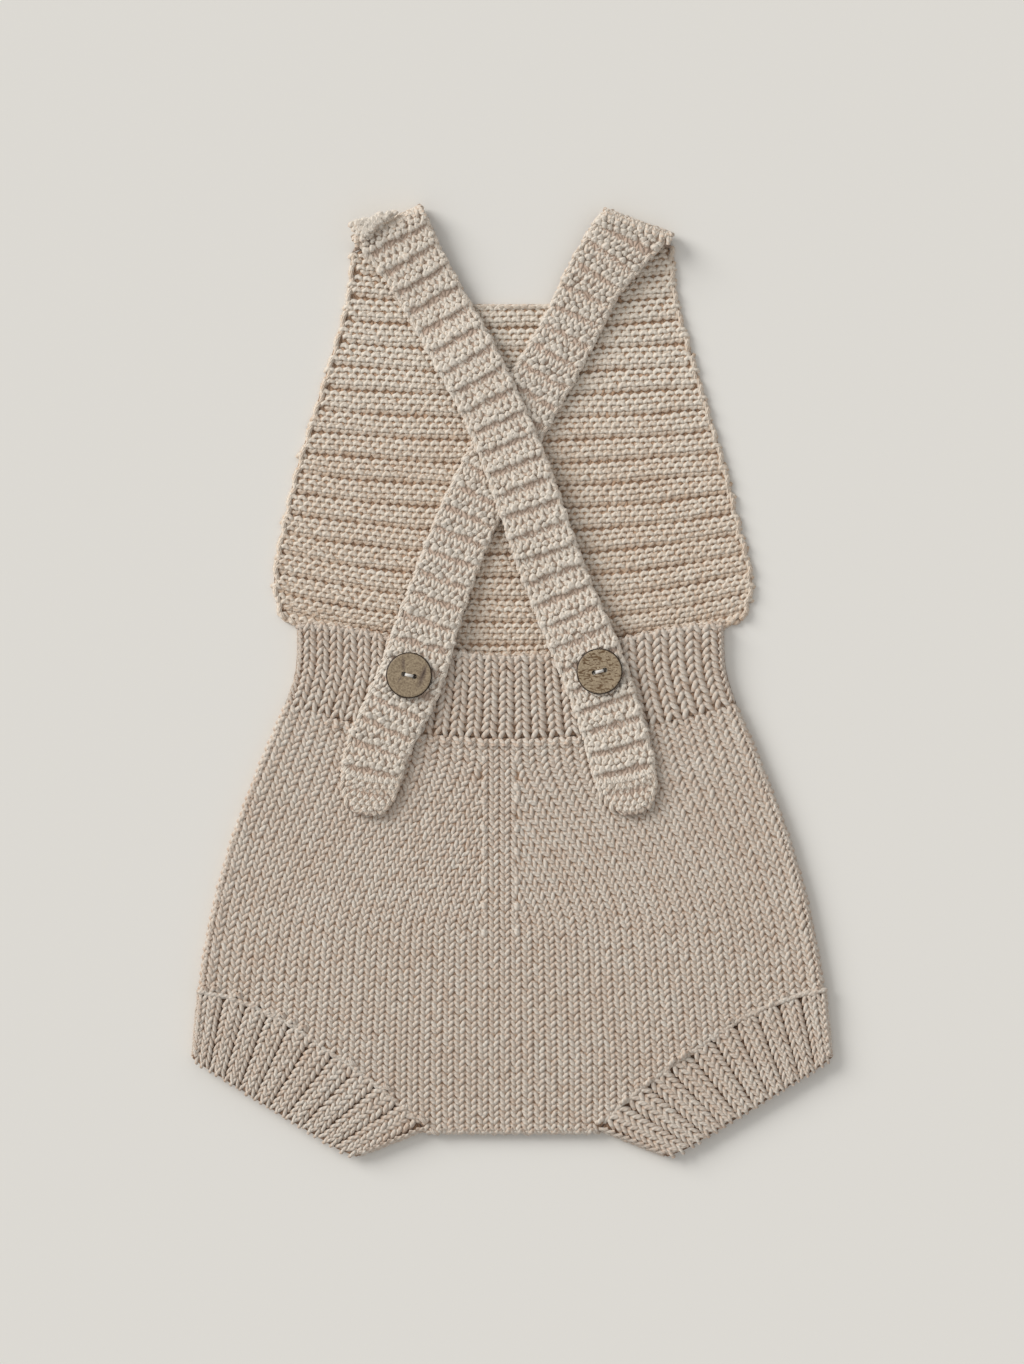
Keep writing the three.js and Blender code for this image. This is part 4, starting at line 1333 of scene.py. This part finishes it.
# Coconut shell or wood: one button has soft dark streaks, the other is mottled with small dashes.
def buttonMaterial(name, spec):
    material, tree, shader = newMaterial(name, 0.5)

    def vectorMath(operation, a, b=(0, 0, 0)):
        return addNode(tree, "ShaderNodeVectorMath", {0: a, 1: b}, operation=operation)

    def mapped(value, low, high, atLow, atHigh, way="LINEAR"):
        wires = {0: value, 1: low, 2: high, 3: atLow, 4: atHigh}
        return addNode(tree, "ShaderNodeMapRange", wires, interpolation_type=way).outputs[0]

    def blended(amount, a, b, way="MIX"):
        wires = {0: amount, 6: a, 7: b}
        return addNode(tree, "ShaderNodeMix", wires, data_type="RGBA", blend_type=way).outputs[2]

    def tinted(colour, mask, shade):
        return blended(mask, colour, (*buttonMarksAndPaintedShade[shade], 1), "MULTIPLY")

    place = addNode(tree, "ShaderNodeTexCoord").outputs["Object"]
    moved = vectorMath("SUBTRACT", place, (spec["x"] * toMetres, spec["y"] * toMetres, 0)).outputs[0]
    split = addNode(tree, "ShaderNodeSeparateXYZ", {0: moved})
    flat = addNode(tree, "ShaderNodeCombineXYZ", {0: split.outputs[0], 1: split.outputs[1]}).outputs[0]

    # 1 inside an oval and 0 outside: middle, half width, half length, turn in degrees, softness
    def oval(x, y, wide, long, turn, soft):
        centred = vectorMath("SUBTRACT", flat, (x * toMetres, y * toMetres, 0)).outputs[0]
        wires = {0: centred, 3: math.radians(-turn)}
        turned = addNode(tree, "ShaderNodeVectorRotate", wires, rotation_type="Z_AXIS").outputs[0]
        scaled = vectorMath("MULTIPLY", turned, (1 / (wide * toMetres), 1 / (long * toMetres), 0)).outputs[0]
        return mapped(vectorMath("LENGTH", scaled).outputs[1], 1 - soft, 1.0, 1.0, 0.0, "SMOOTHSTEP")

    wires = {"Vector": place, "Scale": 1300.0, "Detail": 3.0, "Roughness": 0.7}
    grain = addNode(tree, "ShaderNodeTexNoise", wires)
    specks = mapped(grain.outputs[0], 0.36, 0.64, 0.0, 1.0)
    darkTone, lightTone = spec["tones"]
    colour = blended(specks, (*darkTone, 1), (*lightTone, 1))
    lying = addNode(tree, "ShaderNodeMapping", {0: place, 2: (0, 0, math.radians(-12)), 3: (0.5, 1.25, 1)})
    wires = {"Vector": lying.outputs[0], "Scale": 760.0, "Detail": 3.0, "Distortion": 1.0}
    blotches = addNode(tree, "ShaderNodeTexNoise", wires).outputs[0]
    for streak in spec["streaks"]:
        colour = tinted(colour, oval(*streak, 0.95), "streak")
    if not spec["streaks"]:
        colour = tinted(colour, mapped(blotches, 0.42, 0.49, 1.0, 0.0), "dash")
    turn = math.radians(spec["turn"])
    # painted shade in and round the two holes
    around = button["hole"] + 0.2
    for side in (-1, 1):
        out = side * button["holeOut"]
        hole = oval(out * math.cos(turn), out * math.sin(turn), around, around, 0, 0.16)
        colour = tinted(colour, hole, "hole")
    # painted shade: a dark ring round the edge of the button's top
    flatTo = button["radius"] - 0.35
    colour = tinted(colour, subtract(tree, 1.0, oval(0, 0, flatTo, flatTo, 0, 0.04)), "rimShade")
    dress(tree, shader, colour, specks if spec["streaks"] else blotches, spec["relief"], 0.6)
    return material


def revolve(profile, sides):
    work = bmesh.new()
    rings = []
    for r, z in profile:
        if r == 0:
            rings.append([work.verts.new((0, 0, z))])
        else:
            angles = [k * 2 * math.pi / sides for k in range(sides)]
            rings.append([work.verts.new((r * math.cos(a), r * math.sin(a), z)) for a in angles])
    for low, high in zip(rings, rings[1:]):
        for k in range(sides):
            n = (k + 1) % sides
            if len(low) == 1:
                work.faces.new((low[0], high[n], high[k]))
            elif len(high) == 1:
                work.faces.new((low[k], low[n], high[0]))
            else:
                work.faces.new((low[k], low[n], high[n], high[k]))
    bmesh.ops.recalc_face_normals(work, faces=work.faces)
    return work


def takeMesh(work, name):
    mesh = bpy.data.meshes.new(name)
    work.to_mesh(mesh)
    work.free()
    return mesh


def evaluatedMesh(obj):
    graph = bpy.context.evaluated_depsgraph_get()
    return bpy.data.meshes.new_from_object(obj.evaluated_get(graph))


# From a button's own middle to its place on the strap; takes numbers or whole columns of them.
def onStrap(spec, x, y, z):
    cos, sin = math.cos(math.radians(spec["turn"])), math.sin(math.radians(spec["turn"]))
    return x * cos - y * sin + spec["x"], x * sin + y * cos + spec["y"], z + button["height"]


def finishFitting(obj, node):
    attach(obj, "root")
    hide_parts(node)


def makeButton(name, spec):
    r, t = button["radius"], button["thick"]
    floor = t - button["dish"]
    profile = [(0, 0), (3, 0), (6, 0), (r - 1.1, 0), (r - 0.35, 0.25), (r, 0.9)]
    profile += [(r, t - 0.8), (r - 0.3, t - 0.25), (r - 0.9, t), (r - 1.7, t - 0.08)]
    profile += [(r - 2.4, t - button["dish"] * 0.8), (r - 4, floor), (3, floor), (0, floor)]
    disc = newObject(name + "_disc", takeMesh(revolve(profile, 96), name), buttonMaterial(name, spec))
    for side in (-1, 1):
        hole = button["hole"]
        pin = revolve([(0, -2), (hole, -2), (hole, t + 2), (0, t + 2)], 32)
        bmesh.ops.translate(pin, verts=pin.verts, vec=(side * button["holeOut"], 0, 0))
        cutter = newObject("pin", takeMesh(pin, "pin"), disc.data.materials[0])
        cut = disc.modifiers.new("hole", "BOOLEAN")
        cut.object = cutter
        cut.solver = "EXACT"
        holed = evaluatedMesh(disc)
        disc.modifiers.clear()
        disc.data = holed
        bpy.data.objects.remove(cutter)
    points = np.array([tuple(v.co) for v in disc.data.vertices])
    placed = np.column_stack(onStrap(spec, *points.T))
    disc.data.vertices.foreach_set("co", (placed * toMetres).ravel())
    disc.data.polygons.foreach_set("use_smooth", [True] * len(disc.data.polygons))
    disc.data.set_sharp_from_angle(angle=math.radians(40))
    finishFitting(disc, name)


threadYarn = yarnMaterial("button thread", *cottonTones["thread"], 0.3, 0.08)
threadStrands = ((-0.36, 0.42), (0.34, 0.46), (0.02, 0.86))  # how far aside, and how high over the button


# Three strands that come up through one hole and go down through the other.
def makeThread(name, spec):
    curve = bpy.data.curves.new(name + "_strands", "CURVE")
    curve.dimensions = "3D"
    curve.bevel_depth = 0.3 * toMetres
    curve.bevel_resolution = 3
    curve.resolution_u = 10
    curve.use_fill_caps = True
    top = button["thick"] - button["dish"]
    out = button["holeOut"] - 0.85
    for sideways, lift in threadStrands:
        spline = curve.splines.new("BEZIER")
        bendAt, under = out * 0.94, top - 0.15
        spots = [(-out, 0.15), (-bendAt, under), (0, top + lift), (bendAt, under), (out, 0.15)]
        spline.bezier_points.add(len(spots) - 1)
        for point, (x, z) in zip(spline.bezier_points, spots):
            place = onStrap(spec, x, sideways + dice.uniform(-0.05, 0.05), z)
            point.co = [c * toMetres for c in place]
            point.handle_left_type = point.handle_right_type = "AUTO"
    bent = bpy.data.objects.new("strands", curve)
    bpy.context.scene.collection.objects.link(bent)
    mesh = evaluatedMesh(bent)
    bpy.data.objects.remove(bent)
    strands = newObject(name + "_strands", mesh, threadYarn)
    mesh.polygons.foreach_set("use_smooth", [True] * len(mesh.polygons))
    finishFitting(strands, name)


for buttonName, buttonSpec in buttonPlaces.items():
    makeButton(buttonName, buttonSpec)
    makeThread(buttonName + "_thread", buttonSpec)
print("buttons are sewn on")

studio = {
    "pictureHigh": 593.3,
    "eye": 2600.0,
    "floorTone": (0.80, 0.775, 0.725),
    "sunTurn": 148.0,  # degrees round from +X to where the light comes from
    "sunHeight": 27.0,
    "sunSoftness": 32.0,
    "sunPower": 2.45,
    "sky": 0.54,
    "tableHalf": 4,  # this and the next in metres
    "farthest": 20,
    "sensor": 24,
}


def makeStudio():
    floorMesh = bpy.data.meshes.new("floor")
    far = studio["tableHalf"]
    corners = [(-far, -far, 0), (far, -far, 0), (far, far, 0), (-far, far, 0)]
    floorMesh.from_pydata(corners, [], [(0, 1, 2, 3)])
    material, tree, shader = newMaterial("pale table", 0.85)
    shader.inputs["Base Color"].default_value = (*studio["floorTone"], 1)
    floor = newObject("floor", floorMesh, material)
    lamp = bpy.data.lights.new("window", "SUN")
    lamp.angle = math.radians(studio["sunSoftness"])
    lamp.energy = studio["sunPower"]
    turn, height = math.radians(studio["sunTurn"]), math.radians(studio["sunHeight"])
    towards = Vector((math.cos(turn) * math.cos(height), math.sin(turn) * math.cos(height), math.sin(height)))
    window = bpy.data.objects.new("window", lamp)
    window.location = towards * 2
    window.rotation_euler = (-towards).to_track_quat("-Z", "Y").to_euler()
    bpy.context.scene.collection.objects.link(window)
    world = bpy.data.worlds.new("room")
    world.use_nodes = True
    world.node_tree.nodes["Background"].inputs[0].default_value = (1.0, 1.0, 1.0, 1)
    world.node_tree.nodes["Background"].inputs[1].default_value = studio["sky"]
    bpy.context.scene.world = world
    camera = bpy.data.cameras.new("camera")
    camera.sensor_fit = "VERTICAL"
    camera.sensor_height = studio["sensor"]
    camera.lens = studio["sensor"] * studio["eye"] / studio["pictureHigh"]
    camera.clip_end = studio["farthest"]
    eye = bpy.data.objects.new("camera", camera)
    eye.location = (0, 0, studio["eye"] * toMetres)
    bpy.context.scene.collection.objects.link(eye)
    bpy.context.scene.camera = eye
    bpy.context.scene.view_settings.view_transform = "Standard"


makeStudio()
